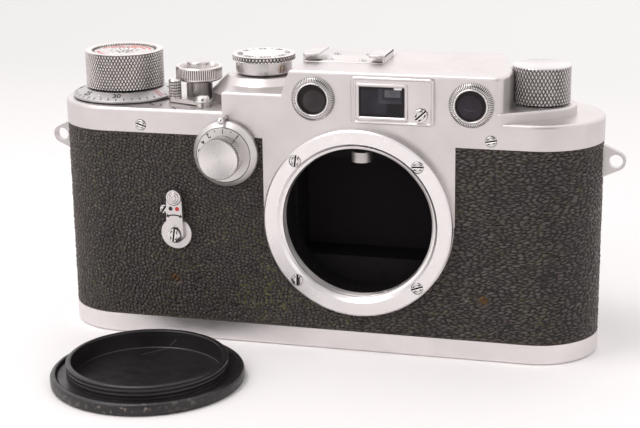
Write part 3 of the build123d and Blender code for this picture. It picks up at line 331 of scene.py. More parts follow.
def turned(profile: Array, columns: int, knurl: Knurl | None = None, coat: int = 0) -> Skin:
    """A surface of revolution about Z.

    Point (i, j) is (R cos a, R sin a, h_i), where a = j turns / columns and R = r_i less the knurl's
    cut. A profile that starts on the axis ends there too, and a fan closes each pole. Any other
    profile closes on itself, up its outside and down its inside.

    Args:
        profile: (radius, height) rows, from the bottom outwards, up and back in.
        columns: how many steps go round.
        knurl: the pattern cut into it.
        coat: its coat number.

    Returns:
        The surface, with the mark groove in its knurl and the mark sweep, a painted reflection going light
        and dark twice round it.
    """
    poles = profile[0, 0] < 1e-9
    rows = profile[1:-1] if poles else profile
    count = len(rows)
    angle = (np.arange(columns) * (TURN / columns))[None, :]
    radius, height = rows[:, :1], rows[:, 1:]
    groove = knurl.cut(angle, height) if knurl else np.zeros((count, columns))
    reach = radius - (knurl.depth * groove if knurl else 0.0)
    level = height - (knurl.sink * groove if knurl else 0 * angle)
    points = np.stack([reach * np.cos(angle), reach * np.sin(angle), level], axis=-1)
    points = points.reshape(-1, 3)
    # sweep is a painted reflection: it goes light and dark twice round the axis, like the sheen of a spun
    # face.
    sweep = (0.5 + 0.5 * np.cos(2 * angle - 0.6) + 0 * height).ravel()
    i = np.arange(count - 1 if poles else count)[:, None]
    j = np.arange(columns)[None, :]
    above, beside = (i + 1) % count, (j + 1) % columns
    quads = np.stack(
        [i * columns + j, i * columns + beside, above * columns + beside, above * columns + j], -1)
    faces = [quads.reshape(-1, 4)]
    groove = groove.ravel()
    if poles:
        ends = np.array([[0, 0, profile[0, 1]], [0, 0, profile[-1, 1]]])
        low, last, side = count * columns, (count - 1) * columns, np.arange(columns)
        nxt = (side + 1) % columns
        faces.append(np.stack([np.full(columns, low), nxt, side], -1))
        faces.append(np.stack([np.full(columns, low + 1), last + side, last + nxt], -1))
        points = np.concatenate([points, ends])
        groove = np.concatenate([groove, [0, 0]])
        sweep = np.concatenate([sweep, [0.5, 0.5]])
    marks = {"groove": groove, "sweep": sweep}
    return Skin(points, faces, [coat] * len(faces), marks)


def slab(outline: Array, levels: list[tuple[float, float]], coat: int = 0) -> Skin:
    """A plate with a star-shaped outline and eased edges.

    Level k is the outline moved in along its own normals by inset_k, at height h_k. A fan from the
    outline's middle closes the first and last level.

    Args:
        outline: (x, y) points, anticlockwise seen from above.
        levels: (inset, height) pairs from the bottom up.
        coat: its coat number.

    Returns:
        The closed surface.
    """
    count = len(outline)
    along = np.roll(outline, -1, axis=0) - np.roll(outline, 1, axis=0)
    along /= np.linalg.norm(along, axis=1, keepdims=True)
    inward = np.stack([-along[:, 1], along[:, 0]], axis=1)
    insets = np.array([level[0] for level in levels])[:, None, None]
    flat = outline[None] + insets * inward[None]
    heights = np.array([level[1] for level in levels])[:, None, None] + np.zeros((1, count, 1))
    points = np.concatenate([flat, heights], axis=2).reshape(-1, 3)
    i, j = np.arange(len(levels) - 1)[:, None], np.arange(count)[None, :]
    beside = (j + 1) % count
    quads = np.stack([i * count + j, i * count + beside, (i + 1) * count + beside, (i + 1) * count + j], -1)
    middle = outline.mean(axis=0)
    ends = np.array([[*middle, levels[0][1]], [*middle, levels[-1][1]]])
    low, last, side = len(points), (len(levels) - 1) * count, np.arange(count)
    nxt = (side + 1) % count
    fans = [np.stack([np.full(count, low), nxt, side], -1),
            np.stack([np.full(count, low + 1), last + side, last + nxt], -1)]
    faces = [quads.reshape(-1, 4), *fans]
    return Skin(np.concatenate([points, ends]), faces, [coat] * 3)


def rounded_box(low: tuple[float, float], high: tuple[float, float], corner: float, steps: int = 5) -> Array:
    """A rectangle with rounded corners.

    Args:
        low: its lower left corner.
        high: its upper right corner.
        corner: the corners' radius.
        steps: the pieces in each corner.

    Returns:
        Its points, anticlockwise.
    """
    centres = np.array([[high[0] - corner, high[1] - corner], [low[0] + corner, high[1] - corner],
                        [low[0] + corner, low[1] + corner], [high[0] - corner, low[1] + corner]])
    angle = np.linspace(0, pi / 2, steps + 1)[None, :] + (np.arange(4) * pi / 2)[:, None]
    return (centres[:, None] + corner * np.stack([np.cos(angle), np.sin(angle)], -1)).reshape(-1, 2)


def lofted(loops: list[tuple[Array, float]], coat: int = 0) -> Skin:
    """A closed band through loops that all have the same number of points.

    Args:
        loops: (outline, height) pairs, up the outside and down the inside; the last joins the first.
        coat: its coat number.

    Returns:
        The closed surface.
    """
    count, columns = len(loops), len(loops[0][0])
    points = np.concatenate(
        [np.column_stack([outline, np.full(columns, height)]) for outline, height in loops])
    i, j = np.arange(count)[:, None], np.arange(columns)[None, :]
    above, beside = (i + 1) % count, (j + 1) % columns
    quads = np.stack(
        [i * columns + j, i * columns + beside, above * columns + beside, above * columns + j], -1)
    return Skin(points, [quads.reshape(-1, 4)], [coat])


BOX_CORNERS = np.array([[x, y, z] for z in (-0.5, 0.5) for y in (-0.5, 0.5) for x in (-0.5, 0.5)])
BOX_FACES = np.array([[0, 2, 3, 1], [4, 5, 7, 6], [0, 1, 5, 4], [2, 6, 7, 3], [0, 4, 6, 2], [1, 3, 7, 5]])


def dashes(origins: Array, rights: Array, ups: Array, size: tuple[float, float, float], coat: int) -> Skin:
    """Many small boxes at once, such as a scale's ticks.

    Corner c of box k is origin_k + sx cx right_k + sy cy up_k + sz cz (right_k x up_k).

    Args:
        origins: the boxes' centres.
        rights: their X directions.
        ups: their Y directions.
        size: their sides (sx, sy, sz).
        coat: their coat number.

    Returns:
        All the boxes as one surface.
    """
    out = np.cross(rights, ups)
    cx, cy, cz = (BOX_CORNERS * np.array(size)).T
    level = origins[:, None] + cx[:, None] * rights[:, None] + cy[:, None] * ups[:, None]
    points = level + cz[:, None] * out[:, None]
    faces = BOX_FACES[None] + 8 * np.arange(len(origins))[:, None, None]
    return Skin(points.reshape(-1, 3), [faces.reshape(-1, 4)], [coat])


def arc_bar(radius: float, width: float, low: float, high: float, start: float, end: float,
            coat: int) -> Skin:
    """A flat bar bent round Z: its four corners swept from one angle to another, with closed ends.

    Args:
        radius: its middle radius.
        width: its width across.
        low: the height of its underside.
        high: the height of its top.
        start: the first angle in degrees.
        end: the last angle in degrees.
        coat: its coat number.

    Returns:
        The closed bar.
    """
    steps = max(2, int(abs(end - start) / 6) + 1)
    angle = np.radians(np.linspace(start, end, steps))[:, None]
    near, far = radius - width / 2, radius + width / 2
    reach = np.array([[near, far, far, near]])
    height = np.array([[low, low, high, high]]) + 0 * angle
    points = np.stack([reach * np.cos(angle), reach * np.sin(angle), height], -1).reshape(-1, 3)
    i, k = np.arange(steps - 1)[:, None], np.arange(4)[None, :]
    nxt = (k + 1) % 4
    quads = np.stack([i * 4 + k, (i + 1) * 4 + k, (i + 1) * 4 + nxt, i * 4 + nxt], -1).reshape(-1, 4)
    last = 4 * (steps - 1)
    caps = np.array([[0, 1, 2, 3], [last + 3, last + 2, last + 1, last]])
    return Skin(points, [np.concatenate([quads, caps])], [coat])


def arc_ring(radius: float, width: float, low: float, high: float, coat: int) -> Skin:
    """A thin flat ring about Z."""
    near, far = radius - width / 2, radius + width / 2
    return turned(np.array([[near, low], [far, low], [far, high], [near, high]]), 120, coat=coat)


@cache
def numeral(text: str, height: float, thickness: float = 0.04) -> Skin:
    """A printed number as a thin closed solid about its own middle.

    Args:
        text: the digits.
        height: how tall they stand.
        thickness: how thick the print is.

    Returns:
        The number in the XY plane, facing +Z.
    """
    curve = bpy.data.curves.new("numeral", "FONT")
    curve.body, curve.size, curve.extrude = text, 1.0, 0.02
    curve.resolution_u, curve.offset = 3, 0.018
    holder = bpy.data.objects.new("numeral", curve)
    bpy.context.scene.collection.objects.link(holder)
    bpy.context.view_layer.update()
    mesh = bpy.data.meshes.new_from_object(holder)
    shape = bmesh.new()
    shape.from_mesh(mesh)
    bmesh.ops.remove_doubles(shape, verts=shape.verts, dist=1e-4)
    bmesh.ops.recalc_face_normals(shape, faces=shape.faces)
    shape.to_mesh(mesh)
    shape.free()
    points = np.zeros(3 * len(mesh.vertices), np.float32)
    mesh.vertices.foreach_get("co", points)
    points = points.reshape(-1, 3).astype(float)
    corners = np.zeros(len(mesh.loops), np.int32)
    mesh.loops.foreach_get("vertex_index", corners)
    starts, totals = np.zeros(len(mesh.polygons), np.int32), np.zeros(len(mesh.polygons), np.int32)
    mesh.polygons.foreach_get("loop_start", starts)
    mesh.polygons.foreach_get("loop_total", totals)
    faces = [corners[starts[totals == n][:, None] + np.arange(n)[None, :]] for n in np.unique(totals)]
    bpy.data.objects.remove(holder)
    bpy.data.meshes.remove(mesh)
    low, high = points.min(axis=0), points.max(axis=0)
    scale = height / (high[1] - low[1])
    points = (points - (low + high) / 2) * np.array([scale, scale, thickness / (high[2] - low[2])])
    return Skin(points, faces, [0] * len(faces))


@dataclass(frozen=True)
class Slope:
    """A round face about Z that marks lie on, from (radius, height) at its rim to the same at its crown."""

    rim: tuple[float, float]
    crown: tuple[float, float]

    def spots(self, angles: Array, radius: float, above: float = 0.0) -> tuple[Array, Array, Array]:
        """Finds where marks go, with their tops towards the axis.

        At angle a, right is (-sin a, cos a, 0) and up runs along the slope to the axis.

        Args:
            angles: degrees from +X.
            radius: how far out the marks' middles are.
            above: how far they stand above the face.

        Returns:
            The marks' origins, right and up directions.
        """
        a = np.radians(np.atleast_1d(np.asarray(angles, float)))[:, None]
        run, rise = self.rim[0] - self.crown[0], self.crown[1] - self.rim[1]
        lean_in, lean_up = run / hypot(run, rise), rise / hypot(run, rise)
        out = np.concatenate([np.cos(a), np.sin(a), 0 * a], axis=1)
        zed = np.array([[0.0, 0.0, 1.0]])
        right = np.concatenate([-np.sin(a), np.cos(a), 0 * a], axis=1)
        up = zed * lean_up - out * lean_in
        height = self.rim[1] + (self.rim[0] - radius) * rise / run
        origin = out * radius + zed * height + above * (out * lean_up + zed * lean_in)
        return origin, right, up

    def ticks(self, angles: Array, radius: float, length: float, width: float, coat: int) -> Skin:
        """Radial ticks, printed on the face."""
        return dashes(*self.spots(angles, radius), (width, length, 0.05), coat)

    def number(self, text: str, angle: float, radius: float, height: float, coat: int) -> Skin:
        """One number, printed on the face."""
        origin, right, up = self.spots([angle], radius, 0.005)
        return numeral(text, height).placed(origin[0], right[0], up[0]).coated(coat)


# ---------------------------------------------------------------- finishes


class Graph:
    """The node tree of one material, with short ways to add to it."""

    def __init__(self, name: str) -> None:
        """Starts a material with one Principled shader."""
        self.material = bpy.data.materials.new(name)
        self.material.use_nodes = True
        self.tree = self.material.node_tree
        self.tree.nodes.clear()
        self.shader = self.tree.nodes.new("ShaderNodeBsdfPrincipled")
        self.output = self.tree.nodes.new("ShaderNodeOutputMaterial")
        self.tree.links.new(self.shader.outputs[0], self.output.inputs[0])
        self.place = self.tree.nodes.new("ShaderNodeTexCoord").outputs["Object"]

    def add(self, kind: str, inputs: dict, **settings):
        """Adds a node.

        Args:
            kind: the node's type.
            inputs: values or sockets for its inputs, by name or number.
            **settings: its properties.

        Returns:
            The node.
        """
        node = self.tree.nodes.new(kind)
        for key, value in settings.items():
            setattr(node, key, value)
        for key, value in inputs.items():
            self.feed(node.inputs[key], value)
        return node

    def feed(self, socket, value) -> None:
        """Links a socket into another, or sets its value."""
        if isinstance(value, bpy.types.NodeSocket):
            self.tree.links.new(value, socket)
        elif isinstance(value, tuple) and len(value) == 3 and socket.type == "RGBA":
            socket.default_value = (*value, 1.0)
        else:
            socket.default_value = value

    def spread(self, per_mm: float, stretch: Colour = (1, 1, 1), shift: Colour = (0, 0, 0)):
        """The object's coordinates with so many units to the millimetre."""
        scale = tuple(per_mm * s / MM for s in stretch)
        return self.add("ShaderNodeMapping",
                        {"Vector": self.place, "Scale": scale, "Location": shift}).outputs[0]

    def noise(self, per_mm: float, detail: float = 2.0, stretch: Colour = (1, 1, 1),
              shift: Colour = (0, 0, 0)):
        """Cloudy noise with features about 1 / per_mm wide."""
        where = self.spread(per_mm, stretch, shift)
        return self.add("ShaderNodeTexNoise", {"Vector": where, "Scale": 1.0, "Detail": detail}).outputs[0]

    def cells(self, per_mm: float, stretch: Colour = (1, 1, 1)):
        """The distance to scattered points about 1 / per_mm apart."""
        where = self.spread(per_mm, stretch)
        return self.add("ShaderNodeTexVoronoi", {"Vector": where, "Scale": 1.0}).outputs["Distance"]

    def span(self, value, low: float, high: float, bottom: float = 0.0, top: float = 1.0):
        """Maps low..high to bottom..top, held at both ends."""
        inputs = {"Value": value, "From Min": low, "From Max": high, "To Min": bottom, "To Max": top}
        return self.add("ShaderNodeMapRange", inputs).outputs[0]

    def sum(self, kind: str, first, second=0.0):
        """One step of arithmetic."""
        return self.add("ShaderNodeMath", {0: first, 1: second}, operation=kind).outputs[0]

    def blend(self, share, first, second):
        """Mixes two colours."""
        return self.add("ShaderNodeMix", {0: share, 6: first, 7: second}, data_type="RGBA").outputs[2]

    def mark(self, name: str):
        """A mark stored on the mesh."""
        return self.add("ShaderNodeAttribute", {}, attribute_name=name).outputs["Fac"]

    def rings(self, centre: Array, way: Facing, per_mm: float):
        """Noise that changes only with the distance from a piece's axis, as a lathe's tool leaves it."""
        keep = (1.0, 1.0, 0.0) if way is Facing.TOP else (1.0, 0.0, 1.0)
        shift = tuple(-float(c) * k for c, k in zip(centre, keep))
        flat = self.spread(1.0, keep, shift)
        far = self.add("ShaderNodeVectorMath", {0: flat}, operation="LENGTH").outputs["Value"]
        where = self.sum("MULTIPLY", far, per_mm)
        inputs = {"W": where, "Scale": 1.0, "Detail": 2.0}
        return self.add("ShaderNodeTexNoise", inputs, noise_dimensions="1D").outputs[0]

    def bump(self, height, depth: float, normal=None):
        """A bump of so many millimetres, laid over another."""
        inputs = {"Height": height, "Distance": depth * MM, "Strength": 1.0}
        if normal is not None:
            inputs["Normal"] = normal
        return self.add("ShaderNodeBump", inputs).outputs[0]

    def set(self, **inputs) -> None:
        """Sets the shader's sockets; an underscore stands for a space."""
        for key, value in inputs.items():
            self.feed(self.shader.inputs[key.replace("_", " ")], value)


def shaded(colour: Colour, share: float) -> Colour:
    """A colour made darker or lighter."""
    return tuple(min(1.0, c * share) for c in colour)


@dataclass(frozen=True)
class Metal:
    """Plated or turned metal with a fine frost, turning lines, handling marks, grime in its grooves and,
    where sweep is set, a painted reflection round its axis.
    """

    name: str
    colour: Colour
    roughness: float
    frost: float = 0.0003
    frost_per_mm: float = 6.0
    variation: float = 0.04
    centre: tuple[float, float, float] | None = None
    way: Facing = Facing.TOP
    ring_depth: float = 0.0012
    grime: Colour | None = None
    # sweep: how far the painted reflection darkens the colour, twice round the axis.
    sweep: float = 0.0

    def material(self) -> bpy.types.Material:
        """Builds the metal's node tree."""
        g = Graph(self.name)
        cloud = g.span(g.noise(0.12, 3.0), 0.3, 0.7)
        colour = g.blend(cloud, shaded(self.colour, 1 - self.variation),
                         shaded(self.colour, 1 + self.variation))
        handled = g.span(g.noise(0.45, 4.0, shift=(3.0, 1.0, 7.0)), 0.35, 0.75)
        rough = g.span(handled, 0, 1, self.roughness * 0.9, self.roughness * 1.15)
        normal = g.bump(g.noise(self.frost_per_mm, 1.0), self.frost)
        if self.centre is not None:
            lines = g.rings(np.array(self.centre), self.way, 9.0)
            normal = g.bump(lines, self.ring_depth, normal)
            colour = g.blend(g.span(lines, 0.35, 0.65, 0.0, 0.12), colour, shaded(self.colour, 0.8))
        # Painted reflection: darker where the mark sweep is low, by up to the share sweep.
        if self.sweep:
            colour = g.blend(g.span(g.mark("sweep"), 0, 1, 0.0, 1.0),
                             shaded(self.colour, 1 - self.sweep), colour)
        if self.grime is not None:
            depth = g.span(g.mark("groove"), 0.08, 0.6)
            patch = g.span(g.noise(0.5, 2.0, shift=(9.0, 2.0, 4.0)), 0.25, 0.7, 0.75, 1.0)
            share = g.sum("MULTIPLY", depth, patch)
            colour = g.blend(share, colour, self.grime)
            rough = g.sum("MAXIMUM", rough, g.span(share, 0, 1, 0.0, 0.6))
            g.set(Metallic=g.span(share, 0, 1, 1.0, 0.35))
        else:
            g.set(Metallic=1.0)
        g.set(Base_Color=colour, Roughness=rough, Normal=normal)
        return g.material


@dataclass(frozen=True)
class Coating:
    """Paint, ink or blackened metal: flat colour broken by clouds and fine grain."""

    name: str
    colour: Colour
    roughness: float = 0.55
    grain: float = 0.004
    grain_per_mm: float = 4.0
    specular: float = 0.5

    def material(self) -> bpy.types.Material:
        """Builds the coating's node tree."""
        g = Graph(self.name)
        cloud = g.span(g.noise(0.3, 3.0), 0.3, 0.7)
        colour = g.blend(cloud, shaded(self.colour, 0.86), shaded(self.colour, 1.14))
        rough = g.span(g.noise(0.8, 2.0, shift=(5.0, 2.0, 1.0)), 0.3, 0.7, self.roughness * 0.85,
                       self.roughness * 1.15)
        g.set(Base_Color=colour, Roughness=rough, Normal=g.bump(g.noise(self.grain_per_mm, 2.0), self.grain),
              Specular_IOR_Level=self.specular)
        return g.material


@dataclass(frozen=True)
class GrainedLeather:
    """Black-brown pebble-grained covering with painted shade in its creases, lighter on its high spots from
    wear and a painted highlight, with stained edges and olive specks.
    """

    name: str = "grained_leather"
    # The crease colour is painted shade in the grain's creases; the worn colour is wear and a painted
    # highlight on its high spots.
    crease_shade: Colour = (0.003, 0.0022, 0.0018)
    face: Colour = (0.052, 0.0415, 0.0375)
    worn: Colour = (0.100, 0.082, 0.074)
    stain: Colour = (0.055, 0.032, 0.016)
    olive: Colour = (0.10, 0.10, 0.022)

    def material(self) -> bpy.types.Material:
        """Builds the leather's node tree from the marks grain, edge, moss and scuff."""
        g = Graph(self.name)
        grain = g.mark("grain")
        # Painted shade: the colour falls to near black where the grain is low, in the creases.
        colour = g.blend(g.span(grain, 0.12, 0.75), self.crease_shade, self.face)
        # Painted highlight and wear: the highest spots of the grain turn lighter, in patches.
        highlight_and_wear = g.sum("MULTIPLY", g.span(grain, 0.72, 1.0), g.span(g.noise(0.25, 3.0), 0.3, 0.7))
        colour = g.blend(highlight_and_wear, colour, self.worn)
        spots = g.sum("MULTIPLY", g.span(g.noise(1.1, 2.0, shift=(2.0, 5.0, 3.0)), 0.54, 0.66),
                      g.span(g.noise(0.12, 1.0), 0.42, 0.58))
        colour = g.blend(g.sum("MULTIPLY", spots, g.mark("moss")), colour, self.olive)
        patchy = g.span(g.noise(0.16, 2.0, shift=(7.0, 1.0, 2.0)), 0.40, 0.62)
        colour = g.blend(g.sum("MULTIPLY", g.mark("edge"), patchy), colour, self.stain)
        colour = g.blend(g.mark("scuff"), colour, (0.13, 0.11, 0.10))
        rough = g.span(grain, 0, 1, 0.6, 0.34)
        g.set(Base_Color=colour, Roughness=rough, Normal=g.bump(g.noise(4.0, 3.0), 0.02),
              Specular_IOR_Level=0.42, Sheen_Weight=0.3, Sheen_Roughness=0.35, Sheen_Tint=(0.95, 0.83, 0.78))
        return g.material


@dataclass(frozen=True)
class CoatedGlass:
    """Dark polished glass with a faint coating tint and a trace of haze."""

    name: str
    colour: Colour
    haze: float = 0.04

    def material(self) -> bpy.types.Material:
        """Builds the glass's node tree."""
        g = Graph(self.name)
        film = g.span(g.noise(0.25, 2.0), 0.3, 0.7)
        g.set(Base_Color=g.blend(film, shaded(self.colour, 0.7), shaded(self.colour, 1.3)))
        g.set(Roughness=g.span(g.noise(0.6, 3.0, shift=(1.0, 8.0, 2.0)), 0.4, 0.8, 0.02, self.haze),
              Specular_IOR_Level=0.2)
        return g.material


@dataclass(frozen=True)
class WovenCloth:
    """Rubberised shutter cloth: a fine weave under a dull black film."""

    name: str = "rubberised_cloth"
    colour: Colour = (0.012, 0.010, 0.0115)
    threads_per_mm: float = 3.0

    def material(self) -> bpy.types.Material:
        """Builds the cloth's node tree: two crossed waves of thread as a bump."""
        g = Graph(self.name)
        where = g.spread(self.threads_per_mm)
        waves = [g.add("ShaderNodeTexWave", {"Vector": where, "Scale": 1.0}, bands_direction=d).outputs[1]
                 for d in ("X", "Z")]
        weave = g.sum("MAXIMUM", *waves)
        colour = g.blend(weave, shaded(self.colour, 0.7), shaded(self.colour, 1.3))
        g.set(Base_Color=colour, Roughness=0.8, Normal=g.bump(weave, 0.02), Specular_IOR_Level=0.12)
        return g.material


@dataclass(frozen=True)
class MouldedPlastic:
    """Satin black plastic with dust, turning lines and a scuffed rim."""

    name: str
    centre: tuple[float, float, float]
    colour: Colour = (0.011, 0.0092, 0.0102)
    scuffed: Colour = (0.20, 0.165, 0.14)

    def material(self) -> bpy.types.Material:
        """Builds the plastic's node tree from the mark rim."""
        g = Graph(self.name)
        specks = g.span(g.cells(0.55), 0.055, 0.02)
        colour = g.blend(g.sum("MULTIPLY", specks, 0.5), self.colour, (0.3, 0.29, 0.28))
        torn = g.span(g.noise(0.8, 6.0), 0.56, 0.68)
        colour = g.blend(g.sum("MULTIPLY", torn, g.mark("rim")), colour, self.scuffed)
        lines = g.rings(np.array(self.centre), Facing.TOP, 5.0)
        tooled = g.noise(3.0, 2.0, (0.03, 0.03, 1.0))
        normal = g.bump(g.noise(3.0, 3.0), 0.006, g.bump(lines, 0.014, g.bump(tooled, 0.05)))
        rough = g.span(g.noise(0.3, 3.0, shift=(4.0, 4.0, 1.0)), 0.3, 0.7, 0.30, 0.44)
        g.set(Base_Color=colour, Roughness=rough, Normal=normal, Specular_IOR_Level=0.5)
        return g.material


@cache
def material_of(finish) -> bpy.types.Material:
    """A finish's material, made once."""
    return finish.material()


def print_of(colour: Print) -> Coating:
    """The finish of a printed mark."""
    return Coating(f"print_{colour.name.lower()}", colour.value, 0.6, 0.002, 8.0)


CHROME = (0.63, 0.598, 0.594)
SATIN_CHROME = Metal("satin_chrome", CHROME, 0.41)
RING_CHROME = Metal("ring_chrome", (0.64, 0.61, 0.605), 0.33, 0.00005)
BRIGHT_STEEL = Metal("bright_steel", (0.66, 0.64, 0.63), 0.13, frost=0.0002)
BRASS = Metal("aged_brass", (0.13, 0.075, 0.035), 0.32, variation=0.3)
BLACK_PAINT = Coating("black_paint", (0.010, 0.0085, 0.0095), 0.7, 0.01, specular=0.15)
CHASSIS_BLACK = Coating("blackened_casting", (0.008, 0.008, 0.008), 0.6, 0.03, 2.0, specular=0.2)
GRIME = (0.062, 0.048, 0.037)


def knurled(node: str, way: Facing = Facing.TOP, roughness: float = 0.2) -> Metal:
    """Bright knurled metal with grime in its grooves and turning lines about a node's middle."""
    centre = tuple(float(c) for c in Bounds.of(node).middle)
    return Metal(f"knurled_{node}", (0.67, 0.635, 0.62), roughness, 0.0001, centre=centre, way=way,
                 ring_depth=0.0006, grime=GRIME)


def spun(node: str, way: Facing, colour: Colour = (0.68, 0.66, 0.655), roughness: float = 0.28) -> Metal:
    """Turned metal whose lines run round a node's middle."""
    centre = tuple(float(c) for c in Bounds.of(node).middle)
    return Metal(f"spun_{node}", colour, roughness, 0.0003, centre=centre, way=way, ring_depth=0.003)


# ---------------------------------------------------------------- winding side


@dataclass
class WindingKnob:
    """The knurled winding knob, its recessed reminder disc and the marks on that."""

    radius: float = 9.9
    diamonds: int = 74
    row: float = 1.5
    cut: float = 0.26
    recess: float = 8.05
    disc: float = 7.6

    def knob(self) -> None:
        """Builds the knob: a drum, a bevelled rim and a recess."""
        box = Bounds.of("wind_knob")
        tall = float(box.size[2])
        low, high = 0.12, tall - 0.14
        knurl = DiamondKnurl(self.diamonds, self.cut, low, high, 0.48, self.row)
        profile = chain(eased([(0, 0), (self.radius - 0.35, 0), (self.radius - 0.05, 0.1)], 0.1),
                        band(self.radius, low + 0.02, high - 0.02, self.row / 8),
                        eased(
                            [(self.radius - 0.03, high + 0.02), (self.radius - 0.4, tall),
                             (self.recess + 0.55, tall - 0.02), (self.recess + 0.1, tall - 0.2),
                             (self.recess, tall - 0.45), (self.disc + 0.08, tall - 0.5),
                             (self.disc + 0.05, tall - 1.6), (0, tall - 1.6)], 0.12),)
        skin = turned(profile, 8 * self.diamonds, knurl)
        origin = box.foot
        skin.facing(Facing.TOP, origin).build("wind_knob_knurled", [knurled("wind_knob")], "winding",
                                              "bright_steel", ("wind_knob",))

    def reminder(self) -> None:
        """Builds the reminder disc: a pale plate with printed arcs and ticks."""
        box = Bounds.of("reminder_disc")
        thick = float(box.size[2]) + 0.25
        plate = turned(eased([(0, 0), (self.disc, 0), (self.disc, thick), (0, thick)], 0.1), 96)
        arcs = [arc_bar(r, 0.55, thick - 0.02, thick + 0.03, start, end, 1) for r, start,
                end in ((6.6, 20, 95), (6.6, 110, 165), (5.3, 30, 150), (6.6, 200, 250), (4.2, 60, 120))]
        ticks = Slope((7.6, thick), (1.0, thick)).ticks(np.arange(0, 360, 30), 3.4, 0.9, 0.2, 2)
        skin = joined([plate, *arcs, ticks]).facing(Facing.TOP, box.foot)
        finishes = [Coating("reminder_enamel", (0.66, 0.62, 0.61), 0.35), print_of(Print.PINK),
                    print_of(Print.BLACK)]
        skin.build("reminder_plate", finishes, "winding", "silver_scale", ("reminder_disc",))

    def build(self) -> None:
        """Builds the knob and its disc."""
        self.knob()
        self.reminder()


@dataclass
class CounterDisc:
    """The frame counter: a sloping scale of 40 ticks with numbers, a red mark and two pins."""

    edge: float = 0.5
    crown: float = 10.2
    ticks: int = 40
    zero_angle: float = 10.0
    number_radius: float = 11.35
    number_height: float = 1.6

    def build(self) -> None:
        """Builds the disc and everything printed on it."""
        box = Bounds.of("counter_disc")
        rim, tall = float(box.size[0]) / 2, float(box.size[2])
        bore = 2.85
        ring = turned(
            eased([(bore, 0), (rim, 0), (rim, self.edge), (self.crown, tall), (bore, tall)], 0.1, ring=True),
            160)
        face = Slope((rim, self.edge), (self.crown, tall))
        step = 360 / self.ticks
        angles = self.zero_angle + step * np.arange(self.ticks)
        marks = [face.ticks(angles, rim - 0.72, 0.95, 0.24, 1)]
        for k, text in enumerate(("0", "5", "10", "15", "20", "25", "30")):
            marks.append(
                face.number(text, self.zero_angle + 5 * step * k, self.number_radius, self.number_height, 1))
        marks.append(face.ticks([self.zero_angle - 36.0, self.zero_angle - 31.5], 11.6, 2.7, 0.26, 2))
        for angle in (-103.0, 77.0):
            origin, right, up = face.spots([angle], 11.7)
            dome = turned(
                eased([(0, -0.2), (0.42, -0.2), (0.42, 0.1), (0.2, 0.32), (0, 0.36)], 0.15), 20, coat=3)
            marks.append(dome.placed(origin[0], right[0], up[0]))
        origin = box.foot
        finishes = [spun("counter_disc", Facing.TOP, (0.50, 0.485, 0.487), 0.40), print_of(Print.BLACK),
                    print_of(Print.RED), BRIGHT_STEEL]
        joined([ring, *marks]).facing(Facing.TOP, origin).build(
            "counter_scale", finishes, "frame_counter", "silver_scale", ("counter_disc",))


@dataclass
class DeckMarks:
    """The index line by the counter and the plain marks round the selector's travel."""

    index_angle: float = -44.0

    def build(self) -> None:
        """Prints the marks on the deck as thin raised bars."""
        wind = Bounds.of("counter_disc")
        deck = float(wind.low[2]) - 0.3
        origin = np.array([wind.middle[0], wind.middle[1], deck])
        flat = Slope((20.0, 0.0), (0.0, 0.0))
        wide = float(wind.size[0]) / 2
        index = flat.ticks([self.index_angle], wide + 1.7, 2.3, 0.42, 0).facing(Facing.TOP, origin)
        pivot = Bounds.of("selector_screw").middle
        about = np.array([pivot[0], pivot[1], deck])
        sweep = [arc_bar(r, 0.34, -0.02, 0.03, a, b, 0).facing(Facing.TOP, about) for r, a,
                 b in ((10.6, 118, 134), (10.6, 184, 194), (7.4, 206, 226), (3.7, 235, 262),
                       (3.7, 272, 292))]
        joined([index, *sweep]).build("deck_marks", [print_of(Print.BLACK)], "camera", "black_paint")


# ---------------------------------------------------------------- release, selector


